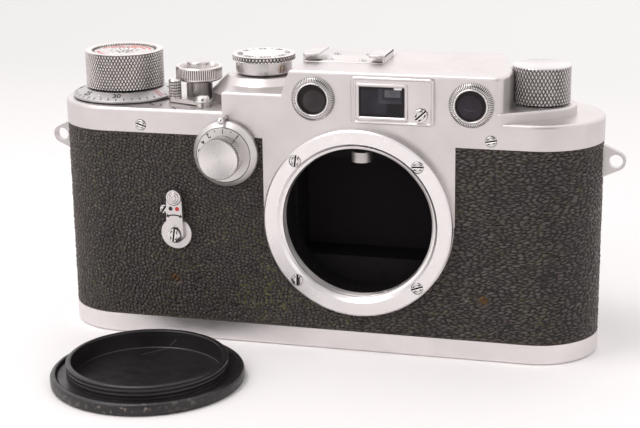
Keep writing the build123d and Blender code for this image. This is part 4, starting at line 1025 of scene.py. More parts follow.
@dataclass
class ReleaseGroup:
    """The knurled collar, the button in it and the selector's finger pillar."""

    collar_teeth: int = 66
    pillar_teeth: int = 20

    def collar(self) -> None:
        """Builds the collar: a ring with straight grooves and a dished top."""
        box = Bounds.of("release_collar")
        outer, tall = float(box.size[0]) / 2, float(box.size[2])
        bore = 3.36
        knurl = Knurl(self.collar_teeth, 0.2, 0.75, tall - 0.42, 0.62)
        profile = chain(eased([(bore, 0), (outer - 0.9, 0), (outer - 0.25, 0.35), (outer - 0.02, 0.6)], 0.2),
                        band(outer, 0.72, tall - 0.4, 0.3),
                        eased(
                            [(outer, tall - 0.36), (outer - 0.3, tall), (outer - 0.75, tall - 0.03),
                             (4.1, tall - 1.3), (bore, tall - 1.5), (bore, 0.4)], 0.12),)
        skin = turned(profile, 8 * self.collar_teeth, knurl)
        skin.facing(Facing.TOP, box.foot).build("release_collar_knurled", [knurled("release_collar")],
                                                "camera", "bright_steel", ("release_collar",))

    def button(self) -> None:
        """Builds the button: a rounded cap with a shallow dish, on its stem."""
        box = Bounds.of("release_button")
        high, wide, cap = float(box.high[2]), float(box.size[0]) / 2, 2.3
        low = float(box.low[2])
        profile = eased(
            [(0, low), (1.2, low), (1.2, high - cap), (wide - 0.15, high - cap), (wide, high - cap + 0.15),
             (wide, high - 0.45), (wide - 0.55, high - 0.02), (0.9, high - 0.28), (0, high - 0.34)], 0.3, 4)
        turned(profile, 72).facing(Facing.TOP, (box.middle[0], box.middle[1], 0)).build(
            "release_button_turned", [spun("release_button", Facing.TOP, (0.60, 0.575, 0.565), 0.32)],
            "release", "bright_steel", ("release_button",))

    def pillar(self) -> None:
        """Builds the pillar: a small post cut into squares."""
        box = Bounds.of("selector_pillar")
        radius, tall = float(box.size[0]) / 2, float(box.size[2])
        period = 0.72
        knurl = SquareKnurl(self.pillar_teeth, 0.17, 0.2, tall - 0.45, 0.5, period)
        profile = chain([(0, 0), (radius, 0), (radius, 0.18)], band(radius, 0.22, tall - 0.47, period / 6),
                        eased(
                            [(radius, tall - 0.44), (radius - 0.02, tall - 0.35), (radius - 0.35, tall),
                             (0, tall)], 0.15))
        turned(profile, 6 * self.pillar_teeth, knurl).facing(Facing.TOP, box.foot).build(
            "selector_pillar_knurled", [knurled("selector_pillar", roughness=0.26)], "selector",
            "bright_steel", ("selector_pillar",))

    def screw(self) -> None:
        """Builds the selector's screw: a polished dome on a stepped washer."""
        box = Bounds.of("selector_screw")
        wide, low, high = float(box.size[0]) / 2, float(box.low[2]), float(box.high[2])
        step, reach = high - 1.2, wide - 0.55
        angle = np.linspace(0, pi / 2, 10)
        dome = np.stack([reach * np.cos(angle), step + 1.2 * np.sin(angle)], axis=1)
        washer = eased(
            [(0, low), (wide - 0.6, low), (wide - 0.6, step - 0.5), (wide, step - 0.5), (wide, step - 0.05),
             (wide - 0.12, step), (reach + 0.05, step)], 0.08)
        profile = chain(washer, dome)
        turned(profile, 48).facing(Facing.TOP, (box.middle[0], box.middle[1], 0)).build(
            "selector_screw_domed", [BRIGHT_STEEL], "camera", "bright_steel", ("selector_screw",))

    def build(self) -> None:
        """Builds the collar, the button, the pillar and the screw."""
        self.screw()
        self.collar()
        self.button()
        self.pillar()


# ---------------------------------------------------------------- speed dials


@dataclass
class SpeedDial:
    """The speed dial's toothed rim and scale, and the sleeve under it with its set screws."""

    teeth: int = 54
    rim_height: float = 1.45
    numbers: tuple[str, ...] = ("1000", "500", "200", "100", "60", "40", "30", "20")
    screw_angles: tuple[float, ...] = (-34.2, 85.8, 205.8)

    def dial(self) -> None:
        """Builds the dial: one row of diamonds round the rim and numbers on the flat."""
        box = Bounds.of("speed_dial")
        radius, high = float(box.size[0]) / 2, float(box.high[2])
        low = high - self.rim_height
        period = 1.5
        knurl = DiamondKnurl(self.teeth, 0.3, low + 0.06, high - 0.05, 0.55, period)
        spigot, foot = 3.0, float(box.low[2])
        profile = chain(
            [(0, foot), (spigot, foot), (spigot, low - 0.02), (radius - 0.55, low - 0.02),
             (radius - 0.06, low + 0.02)], band(radius, low + 0.05, high - 0.06, period / 8),
            eased([(radius - 0.02, high - 0.04), (radius - 0.25, high), (1.6, high), (0, high)], 0.08),)
        face = Slope((radius, high - 0.01), (0.0, high - 0.01))
        marks = [face.number(text, -160.0 + 45.0 * k, 5.9, 1.5, 1) for k, text in enumerate(self.numbers)]
        marks.append(face.ticks(-160.0 + 22.5 + 45.0 * np.arange(8), 6.3, 0.8, 0.22, 1))
        skin = joined([turned(profile, 8 * self.teeth, knurl), *marks])
        skin.facing(Facing.TOP, (box.middle[0], box.middle[1], 0)).build(
            "speed_dial_scale", [knurled("speed_dial", roughness=0.24), print_of(Print.GREY)], "speed_dial",
            "silver_scale", ("speed_dial",))

    def sleeve(self) -> None:
        """Builds the sleeve: a smooth drum with a thin lip and three slotted set screws."""
        box = Bounds.of("speed_sleeve")
        radius, tall = float(box.size[0]) / 2, float(box.size[2])
        bore = 3.06
        profile = eased(
            [(bore, 0), (radius - 0.25, 0), (radius, 0.25), (radius, tall - 0.02), (bore, tall - 0.02)],
            0.12, ring=True)
        drum = turned(profile, 144)
        screws = []
        for angle in self.screw_angles:
            out = np.array([cos(radians(angle)), sin(radians(angle)), 0.0])
            right = np.array([-out[1], out[0], 0.0])
            head = slotted_head(1.05, 0.42, 0.3, 84.0)
            head.coats = [1 if c == 0 else 2 for c in head.coats]
            screws.append(
                head.placed(out * (radius - 0.38) + np.array([0, 0, 0.48 * tall]), right, (0, 0, 1)))
        # BLACK_PAINT on coat 2 is painted shade in the set screws' slots and round their heads.
        finishes = [spun("speed_sleeve", Facing.TOP, (0.60, 0.575, 0.57), 0.3),
                    Metal("set_screw", (0.44, 0.34, 0.25), 0.3), BLACK_PAINT]
        joined([drum, *screws]).facing(Facing.TOP, box.foot).build(
            "speed_sleeve_turned", finishes, "dial_lifter", "bright_steel", ("speed_sleeve",))

    def build(self) -> None:
        """Builds the dial and its sleeve."""
        self.dial()
        self.sleeve()


def slotted_head(radius: float, tall: float, slot: float, turn: float) -> Skin:
    """A screw head with a driver slot, facing +Z from height 0.

    Two domed half-discs with a gap between them stand on a black disc: painted shade that fills the slot and
    shows as a fine dark line round them.

    Args:
        radius: the head's radius.
        tall: how far it stands proud.
        slot: the slot's width.
        turn: the slot's direction in degrees from X.

    Returns:
        The head, with coat 0 on the halves and 1 on the disc.
    """
    inner, floor = radius - 0.06, tall - 0.34 * radius
    if tall > 0.2:
        floor = max(floor, 0.06)
    # The black disc is painted shade in the slot and round the head.
    disc = turned(eased([(0, -0.5), (radius, -0.5), (radius, floor), (0, floor)], 0.03), 36, coat=1)
    start = atan2(slot / 2, inner)
    angle = np.linspace(start, pi - start, 21)
    half = inner * np.stack([np.cos(angle), np.sin(angle)], axis=1)
    levels = [(0.0, min(floor, tall - 0.17 * radius) - 0.03), (0.0, tall - 0.16 * radius),
              (0.03 * radius, tall - 0.05 * radius), (0.1 * radius, tall - 0.012 * radius),
              (0.28 * radius, tall)]
    a = radians(turn)
    right, up = np.array([cos(a), sin(a), 0.0]), np.array([-sin(a), cos(a), 0.0])
    halves = [slab(half, levels).placed((0, 0, 0), side * right, side * up) for side in (1, -1)]
    return joined([*halves, disc])


@dataclass(frozen=True)
class ScrewSet:
    """One node's screws: where each head meets its face, how far it stands proud and how its slot lies."""

    node: str
    body: str
    way: Facing
    radius: float
    tall: float
    places: tuple[tuple[float, float, float], ...]
    slots: tuple[float, ...]

    def heads(self) -> Skin:
        """Builds the heads with their slots."""
        return joined(
            [slotted_head(self.radius, self.tall, 0.26 * self.radius ** 0.5, turn).facing(self.way, place)
             for place, turn in zip(self.places, self.slots)])


@dataclass
class Screws:
    """Every visible slotted screw of the body."""

    def sets(self) -> list[list[ScrewSet]]:
        """The screws in groups, a group for each piece."""
        side, mount = Bounds.of("cover_screws"), Bounds.of("lens_mount_screws")
        flash, finder = Bounds.of("flash_screws"), Bounds.of("viewfinder_screw")
        brass = Bounds.of("leather_screws")
        hub, reach = Bounds.of("wind_hub_screw"), float(side.size[0]) / 2 - 1.35
        face, z = float(side.high[1]) - 0.15, float(side.low[2]) + 1.35
        across = float(mount.size[0]) / 2 - 1.45
        mx, my, mz = float(mount.middle[0]), float(mount.low[1]), float(mount.middle[2])
        corners = tuple((mx + i * across, my + 0.05, mz + k * across) for i,
                        k in ((1, 1), (-1, 1), (-1, -1), (1, -1)))
        shoe = Bounds.of("accessory_shoe").middle
        shoe_places = tuple((float(shoe[0]) + i * 4.2, float(shoe[1]) + k * 4.2, 70.35) for i in (-1, 1)
                            for k in (-1, 1))
        pivot = (float(flash.high[0]) - 1.7, float(flash.low[1]) + 0.55, 28.0)
        stop = (float(flash.low[0]) + 1.15, -15.6, 33.8)
        return [
            [ScrewSet("cover_screws", "camera", Facing.FRONT, 1.35, 0.15,
                      ((-reach, -face, z), (reach, -face, z)), (-18.0, 12.0)),
             ScrewSet("cover_screws", "camera", Facing.BACK, 1.35, 0.15,
                      ((-reach, face, z), (reach, face, z)), (40.0, 75.0)),
             ScrewSet("cover_screws", "camera", Facing.TOP, 1.2, 0.15, shoe_places,
                      (20.0, 80.0, 130.0, 50.0))],
            [ScrewSet("lens_mount_screws", "camera", Facing.FRONT, 1.45, 0.05, corners,
                      (2.0, 84.0, 88.0, 20.0))],
            [ScrewSet("flash_screws", "camera", Facing.FRONT, 1.7, 0.55, (pivot,), (82.0,)),
             ScrewSet("flash_screws", "camera", Facing.FRONT, 1.15, 0.45, (stop,), (55.0,))],
            [ScrewSet("viewfinder_screw", "camera", Facing.FRONT, 1.7, 0.55,
                      ((float(finder.middle[0]), float(finder.low[1]) + 0.55, float(finder.middle[2])),),
                      (42.0,))],
            [ScrewSet("leather_screws", "camera", Facing.FRONT, 1.1, 0.3,
                      tuple((x, float(brass.low[1]) + 0.3, float(brass.middle[2]))
                            for x in (float(brass.low[0]) + 1.1, float(brass.high[0]) - 1.1)),
                      (60.0, 50.0))],
            [ScrewSet("wind_hub_screw", "winding", Facing.TOP, 2.25, 0.65,
                      ((float(hub.middle[0]), float(hub.middle[1]), float(hub.high[2]) - 0.65),), (-64.0,))],
            ]

    def build(self) -> None:
        """Builds a piece for each group."""
        for group in self.sets():
            first = group[0]
            brass = first.node == "leather_screws"
            metal, slot = (BRASS, "brass") if brass else (BRIGHT_STEEL, "bright_steel")
            # BLACK_PAINT on coat 1 is painted shade in the slots and round the heads.
            joined([each.heads() for each in group]).build(
                f"{first.node}_slotted", [metal, BLACK_PAINT], first.body, slot, (first.node,))


@dataclass
class SlowDial:
    """The slow-speed dial on the front: a bevelled scale and a serrated knob with a spun face that carries a
    painted reflection.
    """

    rim: float = 8.1
    face: float = 6.8
    thick: float = 3.2
    knob_teeth: int = 60

    def dial(self) -> None:
        """Builds the scale: a bevel, a fine groove and a flat face with marks."""
        box = Bounds.of("slow_dial")
        front = float(box.low[1]) + self.thick
        shaft = front - float(box.high[1])
        profile = eased(
            [(0, shaft), (1.5, shaft), (1.5, 0.3), (self.rim, 0.3), (self.rim, self.thick - 1.4),
             (self.face + 0.12, self.thick - 0.06), (self.face, self.thick - 0.16),
             (self.face - 0.1, self.thick), (0, self.thick)], 0.1)
        flat = Slope((self.face, self.thick), (0.0, self.thick))
        marks = [flat.ticks([90.0], 5.95, 1.15, 0.2, 1), flat.number("2", 128.0, 5.85, 1.35, 1),
                 flat.number("4", 149.0, 5.85, 1.2, 1), flat.number("1", 52.0, 5.85, 1.35, 1),
                 flat.number("8", 172.0, 5.85, 1.2, 1)]
        marks.append(flat.ticks([109.0, 70.0], 6.2, 0.5, 0.18, 1))
        marks.append(arc_ring(self.face + 0.02, 0.13, self.thick - 0.2, self.thick - 0.02, 1))
        skin = joined([turned(profile, 180), *marks])
        finishes = [spun("slow_dial", Facing.FRONT, (0.66, 0.635, 0.625), 0.45), print_of(Print.BLACK)]
        skin.facing(Facing.FRONT, (box.middle[0], front, box.middle[2])).build(
            "slow_dial_scale", finishes, "slow_dial", "silver_scale", ("slow_dial",))

    def knob(self) -> None:
        """Builds the knob: serrated sides, a thin bright edge and a shallow cone with a painted reflection
        on it.
        """
        box = Bounds.of("slow_dial_knob")
        radius, tall = float(box.size[0]) / 2 + 0.2, float(box.size[1])
        teeth = tall - 1.35
        knurl = Knurl(self.knob_teeth, 0.4, teeth, tall - 0.06, 0.62)
        profile = chain(
            eased(
                [(0, -0.1), (radius - 0.1, -0.1), (radius - 0.32, 0.5), (radius - 0.42, teeth - 0.2),
                 (radius - 0.02, teeth - 0.02)], 0.2), band(radius, teeth + 0.03, tall - 0.32, 0.3),
            eased(
                [(radius - 0.01, tall - 0.22), (radius - 0.18, tall - 0.02), (radius - 0.4, tall),
                 (0, tall - 0.6)], 0.06),)
        skin = turned(profile, 8 * self.knob_teeth, knurl)
        # sweep=0.4 paints a reflection on the knob: two light and two dark wedges round its face.
        finish = Metal("spun_knob_face_painted_sheen", (0.70, 0.675, 0.67), 0.26, 0.0003, centre=box.centre,
                       way=Facing.FRONT, ring_depth=0.003, grime=(0.09, 0.075, 0.065), sweep=0.4)
        skin.facing(Facing.FRONT, (box.middle[0] + 0.2, box.high[1], box.middle[2])).build(
            "slow_knob_serrated", [finish], "slow_dial", "bright_steel", ("slow_dial_knob",))

    def build(self) -> None:
        """Builds the scale and the knob."""
        self.dial()
        self.knob()


# ---------------------------------------------------------------- front fittings


@dataclass
class FlashLever:
    """The flash lever: a round-ended strip with a stepped boss, two colour dots and a curved arrow."""

    width: float = 4.6
    length: float = 9.5
    thick: float = 1.1

    def outline(self) -> Array:
        """The strip's outline: two half-circles joined by straight sides, with the pivot at the origin."""
        low = np.radians(np.linspace(180, 360, 25))
        high = np.radians(np.linspace(0, 180, 25))
        half, tip = self.width / 2, self.width / 2 - 0.25
        bottom = np.stack([half * np.cos(low), half * np.sin(low)], axis=1)
        top = np.stack([tip * np.cos(high), self.length + tip * np.sin(high)], axis=1)
        return np.concatenate([bottom, top])

    def arrow(self, level: float) -> list[Skin]:
        """The printed double-headed arrow that shows which way the lever swings."""
        radius, half = 5.0, 17.0
        bar = arc_bar(radius, 0.34, level, level + 0.04, 90 - half, 90 + half, 1)
        heads = []
        for side in (-1, 1):
            angle = radians(90 - side * half)
            out = np.array([cos(angle), sin(angle)])
            along = side * np.array([out[1], -out[0]])
            base = out * radius
            tip, wings = base + along * 0.75, [base - out * 0.55, base + out * 0.55]
            corners = np.array([tip, wings[1], wings[0]] if side > 0 else [tip, wings[0], wings[1]])
            heads.append(slab(corners, [(0.0, level), (0.0, level + 0.04)], 1))
        return [bar, *heads]

    def build(self) -> None:
        """Builds the lever from its plate, boss rings, dots and arrow."""
        box = Bounds.of("flash_lever")
        back = float(box.high[1])
        pivot_z = float(box.low[2]) + self.width / 2
        plate = slab(self.outline(),
                     [(0.15, 0.0), (0.0, 0.15), (0.0, self.thick - 0.22), (0.07, self.thick - 0.07),
                      (0.22, self.thick)])
        boss = turned(
            eased(
                [(0, self.thick - 0.1), (1.9, self.thick - 0.1), (1.9, self.thick + 0.25),
                 (1.4, self.thick + 0.27), (1.35, self.thick + 0.5), (0.85, self.thick + 0.52),
                 (0.8, self.thick + 0.72), (0.35, self.thick + 0.7), (0, self.thick + 0.58)], 0.07), 48)
        tip = (0.0, self.length, 0.0)
        boss = boss.placed(tip, (1, 0, 0), (0, 1, 0))
        dots = [
            turned(
                eased(
                    [(0, self.thick - 0.05), (0.55, self.thick - 0.05), (0.55, self.thick + 0.03),
                     (0, self.thick + 0.04)], 0.03), 24, coat=coat).placed((x, 6.6, 0), (1, 0, 0), (0, 1, 0))
            for x, coat in ((-0.85, 1), (0.85, 2))]
        rings = [arc_ring(r, 0.14, h - 0.1, h + 0.03, 1).placed(tip, (1, 0, 0), (0, 1, 0))
                 for r, h in ((2.0, self.thick), (1.38, self.thick + 0.26), (0.82, self.thick + 0.51))]
        skin = joined([plate, boss, *rings, *dots, *self.arrow(self.thick - 0.01)])
        skin.facing(Facing.FRONT, (box.middle[0], back, pivot_z)).build(
            "flash_lever_strip",
            [Metal("lever_chrome", (0.60, 0.575, 0.57), 0.24, 0.0003), print_of(Print.BLACK),
             print_of(Print.RED)], "flash_lever", "bright_steel", ("flash_lever",))


@dataclass
class WindowBezels:
    """The two turned bezels: fine radial teeth on the outer bevel and a smooth lip round the glass."""

    teeth: int = 72
    outer: float = 5.4
    bore: float = 3.62
    stand: float = 1.5

    def build(self) -> None:
        """Builds both bezels on the rangefinder windows."""
        box = Bounds.of("window_bezels")
        knurl = Knurl(self.teeth, 0.14, 0.3, 1.22, 0.6, sink=0.42)
        profile = chain(eased([(self.bore, 0.0), (self.outer, 0.0), (self.outer, 0.4)], 0.05)[:-1],
                        np.stack(
                            [np.linspace(self.outer, self.outer - 0.75, 5),
                             np.array([0.45, 0.75, 0.98, 1.12, 1.18])], axis=1),
                        eased(
                            [(self.outer - 0.82, 1.23), (self.outer - 1.2, 1.16), (self.bore + 0.5, 1.18),
                             (self.bore + 0.38, self.stand - 0.08), (self.bore + 0.2, self.stand),
                             (self.bore + 0.02, self.stand - 0.25), (self.bore, 0.3)], 0.07),)
        one = turned(profile, 6 * self.teeth, knurl)
        places = [(x, box.high[1], box.middle[2])
                  for x in (box.low[0] + self.outer, box.high[0] - self.outer)]
        centre = tuple(float(c) for c in places[0])
        finish = Metal("bezel_chrome", (0.84, 0.81, 0.80), 0.27, 0.00005, centre=centre, way=Facing.FRONT,
                       ring_depth=0.001, grime=(0.035, 0.03, 0.028))
        joined([one.facing(Facing.FRONT, place) for place in places]).build(
            "window_bezels_turned", [finish], "camera", "bright_steel", ("window_bezels",), sharp=30.0)


@dataclass
class Finder:
    """The finder's bevelled frame with its raised inner lip, and the painted reflections in the windows."""

    corner: float = 0.9
    flat: float = 0.62
    lip: float = 1.0

    def frame(self) -> None:
        """Builds the frame as one band from its outer edge over the flat and lip into the opening."""
        box, glass = Bounds.of("viewfinder_frame"), Bounds.of("viewfinder_glass")

        def outer(inset: float) -> Array:
            """The frame's outline moved in."""
            return rounded_box((box.low[0] + inset, box.low[2] + inset),
                               (box.high[0] - inset, box.high[2] - inset), self.corner - 0.5 * inset)

        def inner(grow: float) -> Array:
            """The opening's outline moved out."""
            return rounded_box((glass.low[0] - grow, glass.low[2] - grow),
                               (glass.high[0] + grow, glass.high[2] + grow), 0.15 + 0.5 * grow)

        loops = [(outer(0), 0.0), (outer(0), 0.62), (outer(0.2), 0.82), (outer(0.5), 0.82),
                 (outer(0.72), self.flat), (inner(0.85), self.flat), (inner(0.6), self.lip - 0.05),
                 (inner(0.5), self.lip), (inner(0.15), self.lip), (inner(-0.05), self.lip - 0.2),
                 (inner(-0.05), 0.0)]
        lofted(loops).facing(Facing.FRONT, (0, box.high[1], 0)).build(
            "finder_frame_bevelled", [RING_CHROME], "camera", "satin_chrome",
            ("viewfinder_frame",), sharp=20.0)

    def painted_reflections(self) -> None:
        """Builds painted reflections: dim panels and a white highlight inside the finder, and pale circles
        and a glint inside the two round windows.
        """
        glass, rounds = Bounds.of("viewfinder_glass"), Bounds.of("window_glasses")
        wide, tall = float(glass.size[0]), float(glass.size[2])

        def panel(x0: float, x1: float, z0: float, z1: float, level: float, coat: int) -> Skin:
            """A thin panel, a painted reflection, between shares of the glass's width and height."""
            outline = rounded_box((glass.low[0] + x0 * wide, glass.low[2] + z0 * tall),
                                  (glass.low[0] + x1 * wide, glass.low[2] + z1 * tall), 0.1)
            return slab(outline, [(0.0, level - 0.05), (0.0, level)], coat).facing(
                Facing.FRONT, (0, glass.low[1], 0))

        # Painted reflections: nested panels, the last a white painted highlight at the top right.
        reflection_panels = [panel(0.05, 0.60, 0.10, 0.86, 0.02, 0), panel(0.42, 0.93, 0.45, 0.93, 0.03, 1),
                  panel(0.50, 0.92, 0.56, 0.92, 0.04, 0), panel(0.56, 0.90, 0.66, 0.90, 0.05, 2),
                  panel(0.76, 0.93, 0.91, 0.985, 0.07, 3)]
        left = (float(rounds.low[0]) + 3.6, float(glass.low[1]), float(rounds.middle[2]))
        right = (float(rounds.high[0]) - 3.6, float(glass.low[1]), float(rounds.middle[2]))
        # Painted reflections in the round windows: a pale disc in each and a thin painted glint on the
        # right.
        moon = turned(eased([(0, 0), (2.75, 0), (2.75, 0.03), (0, 0.06)], 0.02), 64, coat=4).placed(
            (0.25, -0.55, 0), (1, 0, 0), (0, 1, 0))
        low_moon = turned(eased([(0, 0), (2.9, 0), (2.9, 0.03), (0, 0.06)], 0.02), 64, coat=5).placed(
            (-0.3, -0.5, 0), (1, 0, 0), (0, 1, 0))
        glint = arc_bar(2.75, 0.09, 0.05, 0.1, -128, -62, 2).placed((-0.1, 1.5, 0.02), (1, 0, 0), (0, 1, 0))
        skins = [*reflection_panels, moon.facing(Facing.FRONT, left),
                 *(each.facing(Facing.FRONT, right) for each in (low_moon, glint))]
        finishes = [CoatedGlass("finder_dim", (0.021, 0.020, 0.026)),
                    CoatedGlass("finder_mid", (0.036, 0.036, 0.044)),
                    # The white print here is a painted highlight at the finder's top right.
                    CoatedGlass("finder_pale", (0.09, 0.09, 0.10)), print_of(Print.WHITE),
                    CoatedGlass("window_moon", (0.036, 0.031, 0.032)),
                    CoatedGlass("window_violet", (0.022, 0.018, 0.024))]
        joined(skins).build("window_painted_reflections", finishes, "camera", "window_glass")

    def build(self) -> None:
        """Builds the frame and the painted reflections in the glass."""
        self.frame()
        self.painted_reflections()


@dataclass
class AccessoryShoe:
    """The accessory shoe: a foot plate between two bent side rails with inward lips."""

    top: float = 72.25
    length: float = 11.6
    sheet: float = 0.62
    lip: float = 4.0

    def build(self) -> None:
        """Builds the plate, the walls and the lips from eased slabs."""
        box = Bounds.of("accessory_shoe")
        x0, x1, y0 = float(box.low[0]), float(box.high[0]), float(box.low[1])
        y1, z0 = y0 + self.length, float(box.low[2])

        def piece(left: float, right: float, near: float, far: float, low: float, high: float,
                  corner: float) -> Skin:
            """One slab with a softened upper and lower edge."""
            return slab(rounded_box((left, near), (right, far), corner),
                        [(0.08, low), (0.0, low + 0.08), (0.0, high - 0.12), (0.04, high - 0.04),
                         (0.12, high)])

        lips = [piece(x0, x0 + self.lip, y0, y1, self.top - self.sheet, self.top, 0.9),
                piece(x1 - self.lip, x1, y0, y1, self.top - self.sheet, self.top, 0.9)]
        walls = [piece(x0, x0 + self.sheet, y0 + 0.7, y1 - 0.7, z0, self.top - 0.1, 0.2),
                 piece(x1 - self.sheet, x1, y0 + 0.7, y1 - 0.7, z0, self.top - 0.1, 0.2)]
        foot = piece(x0, x1, y0 + 0.4, float(box.high[1]), z0, 70.36, 0.8)
        joined([*lips, *walls, foot]).build("accessory_shoe_bent", [RING_CHROME], "camera", "satin_chrome",
                                            ("accessory_shoe",))


@dataclass
class LensMountThread:
    """The ridge of the lens thread round the mount's bore."""

    pitch: float = 0.977
    rise: float = 0.3
    bore: float = 19.3

    def build(self) -> None:
        """Builds a sleeve in the bore: a polished bevel in front, and an inside cut as a screw thread."""
        ring = Bounds.of("lens_mount_ring")
        x, z = float(ring.middle[0]), float(ring.middle[2])
        front, length = float(ring.low[1]), float(ring.size[1]) - 0.75
        root, crest = self.bore - 0.68, self.bore - 0.68 - self.rise
        thread = Thread(1, -self.rise, 0.02, length - 0.5, 1.0, self.pitch)
        profile = chain(
            [(self.bore + 0.05, 0.0), (self.bore + 0.05, length), (self.bore - 0.02, length),
             (root + 0.02, length - 0.38)], band(root, length - 0.45, 0.05, self.pitch / 8))
        skin = turned_inside(profile, 288, thread, crest, root)
        skin.facing(Facing.FRONT, (x, front + length + 0.62, z)).build(
            "lens_mount_thread", [Metal("thread_steel", (0.84, 0.81, 0.80), 0.34, 0.0002)], "camera",
            "bright_steel")


def turned_inside(profile: Array, columns: int, thread: Thread, inner: float, bore: float) -> Skin:
    """A threaded sleeve: its outside stays round, and the crests of its inside reach in to a radius.

    Point (i, j) of the inside has the radius bore - rise x wave(v - u), where the wave is 1 on the
    crest and 0 in the root.

    Args:
        profile: (radius, height) rows round the sleeve's section.
        columns: how many steps go round.
        thread: the thread's count, period and ends.
        inner: the crest's radius.
        bore: the root's radius.

    Returns:
        The closed sleeve.
    """
    skin = turned(profile, columns)
    count = len(profile)
    grid = skin.points.reshape(count, columns, 3)
    angle = (np.arange(columns) * (TURN / columns))[None, :]
    inside = profile[:, :1] < bore + 0.01
    height = profile[:, 1:]
    wave = triangle_wave((height - thread.low) / thread.period - angle / TURN)
    fade = smooth((height - thread.low) / 0.3) * smooth((thread.high - height) / 0.3)
    radius = np.where(inside, bore - (bore - inner) * wave * fade, profile[:, :1])
    points = np.stack([radius * np.cos(angle), radius * np.sin(angle), grid[..., 2]], -1).reshape(-1, 3)
    return Skin(points, skin.faces, skin.coats, skin.marks)


# ---------------------------------------------------------------- rewind side


@dataclass
class RewindKnob:
    """The knurled rewind knob with its spun top, which carries a faint painted reflection."""

    radius: float = 7.0
    diamonds: int = 48
    row: float = 1.7

    def build(self) -> None:
        """Builds the knob: a closed ring about its shaft's bore, filled on top by the spun face."""
        box = Bounds.of("rewind_knob")
        tall = float(box.size[2])
        low, high = 0.12, tall - 0.3
        knurl = DiamondKnurl(self.diamonds, 0.27, low, high, 0.52, self.row)
        profile = chain(
            eased([(0, 0), (self.radius - 0.3, 0), (self.radius - 0.05, 0.1)], 0.1),
            band(self.radius, low + 0.02, high - 0.02, self.row / 8),
            eased([(self.radius - 0.02, high + 0.03), (self.radius - 0.35, tall), (self.radius - 0.9, tall),
                   (self.radius - 1.25, tall - 0.12), (0, tall - 0.45)], 0.12),
        )
        # sweep=0.2 paints a faint reflection round the knob, light and dark twice round it.
        finish = Metal("knurled_rewind_painted_sheen", (0.66, 0.635, 0.63), 0.24, 0.0001, centre=box.centre,
                       ring_depth=0.002, grime=GRIME, sweep=0.2)
        turned(profile, 8 * self.diamonds, knurl).facing(Facing.TOP, box.foot).build(
            "rewind_knob_knurled", [finish], "rewind_knob", "bright_steel", ("rewind_knob",))


# ---------------------------------------------------------------- body cap


@dataclass
class BodyCap:
    """The screw-in cap on the table: rim, channel, threaded ring and flat floor."""

    ring: float = 19.2
    wall: float = 1.3
    pitch: float = 0.977

    def build(self) -> None:
        """Builds the cap and marks its worn rim and its scratch."""
        box = Bounds.of("body_cap")
        rim, top = float(box.size[0]) / 2, float(box.size[2])
        deck = 3.0
        inner = self.ring - self.wall
        low, high = deck - 0.7, top - 0.3
        thread = Thread(1, 0.1, low, high, 1.0, self.pitch)
        profile = chain(
            eased(
                [(0, 0.3), (rim - 2.6, 0.3), (rim - 2.2, 0.0), (rim - 0.5, 0.0), (rim, 0.5),
                 (rim, deck - 0.45), (rim - 0.45, deck), (rim - 1.25, deck), (rim - 1.6, deck - 0.8),
                 (self.ring, deck - 0.8)], 0.3, 4)[:-1],
            band(self.ring, low - 0.02, high + 0.02, self.pitch / 8),
            eased(
                [(self.ring - 0.05, high + 0.06), (self.ring - 0.3, top), (inner + 0.1, top),
                 (inner, top - 0.15), (inner, 1.45), (inner - 0.3, 1.2), (0, 1.2)], 0.15, 3),)
        skin = turned(profile, 288, thread)
        x, y, z = skin.points.T
        reach = np.hypot(x, y)
        front = smooth((-y / np.maximum(reach, 1e-6) - 0.1) / 0.8)
        bearing = np.degrees(np.arctan2(x, -y))
        worn = 0.4 * front + np.exp(-(((bearing - 4) / 16) ** 2))
        skin.marks["rim"] = smooth((reach - rim + 1.2) / 1.0) * np.clip(worn, 0, 1) * smooth((z - 0.3) / 0.6)
        centre = box.foot
        floor = joined([skin, self.scratch(inner), self.scuff(rim)])
        floor.facing(Facing.TOP, centre).build("body_cap_moulded",
                                               [MouldedPlastic("moulded_plastic", box.centre),
                                                Coating("pale_scratch", (0.16, 0.155, 0.15))], "cap",
                                               "cap_plastic", ("body_cap",))

    def scratch(self, inner: float) -> Skin:
        """One hair-thin pale scratch over the floor and up the back wall."""
        lean = radians(50)
        right, up = np.array([[cos(lean), sin(lean), 0.0]]), np.array([[-sin(lean), cos(lean), 0.0]])
        floor = dashes(np.array([[-3.9, inner - 3.3, 1.2]]), right, up, (7.4, 0.1, 0.03), 1)
        right, up = np.array([[0.72, 0.0, 0.69]]), np.array([[-0.69, 0.0, 0.72]])
        wall = dashes(np.array([[0.2, inner - 0.03, 3.0]]), right, up, (3.6, 0.1, 0.06), 1)
        return joined([floor, wall])

    def scuff(self, rim: float) -> Skin:
        """A short pale rub on the front of the rim."""
        return arc_bar(rim - 0.35, 0.16, 2.72, 2.86, -84, -76, 1)


# ---------------------------------------------------------------- leather


class Quarter(Enum):
    """The pieces of leather: which half of the body, which share of its length, and its grid's step."""

    LEFT_END = ("leather_left_end", 1, 0.0, 0.24, 0.215)
    FRONT_LEFT = ("leather_front_left", 1, 0.24, None, 0.215)
    FRONT_RIGHT = ("leather_front_right", 1, None, 0.79, 0.215)
    RIGHT_END = ("leather_right_end", 1, 0.79, 1.0, 0.215)
    BACK_LEFT = ("leather_back_left", -1, 0.5, 1.0, 0.37)
    BACK_RIGHT = ("leather_back_right", -1, 0.0, 0.5, 0.37)


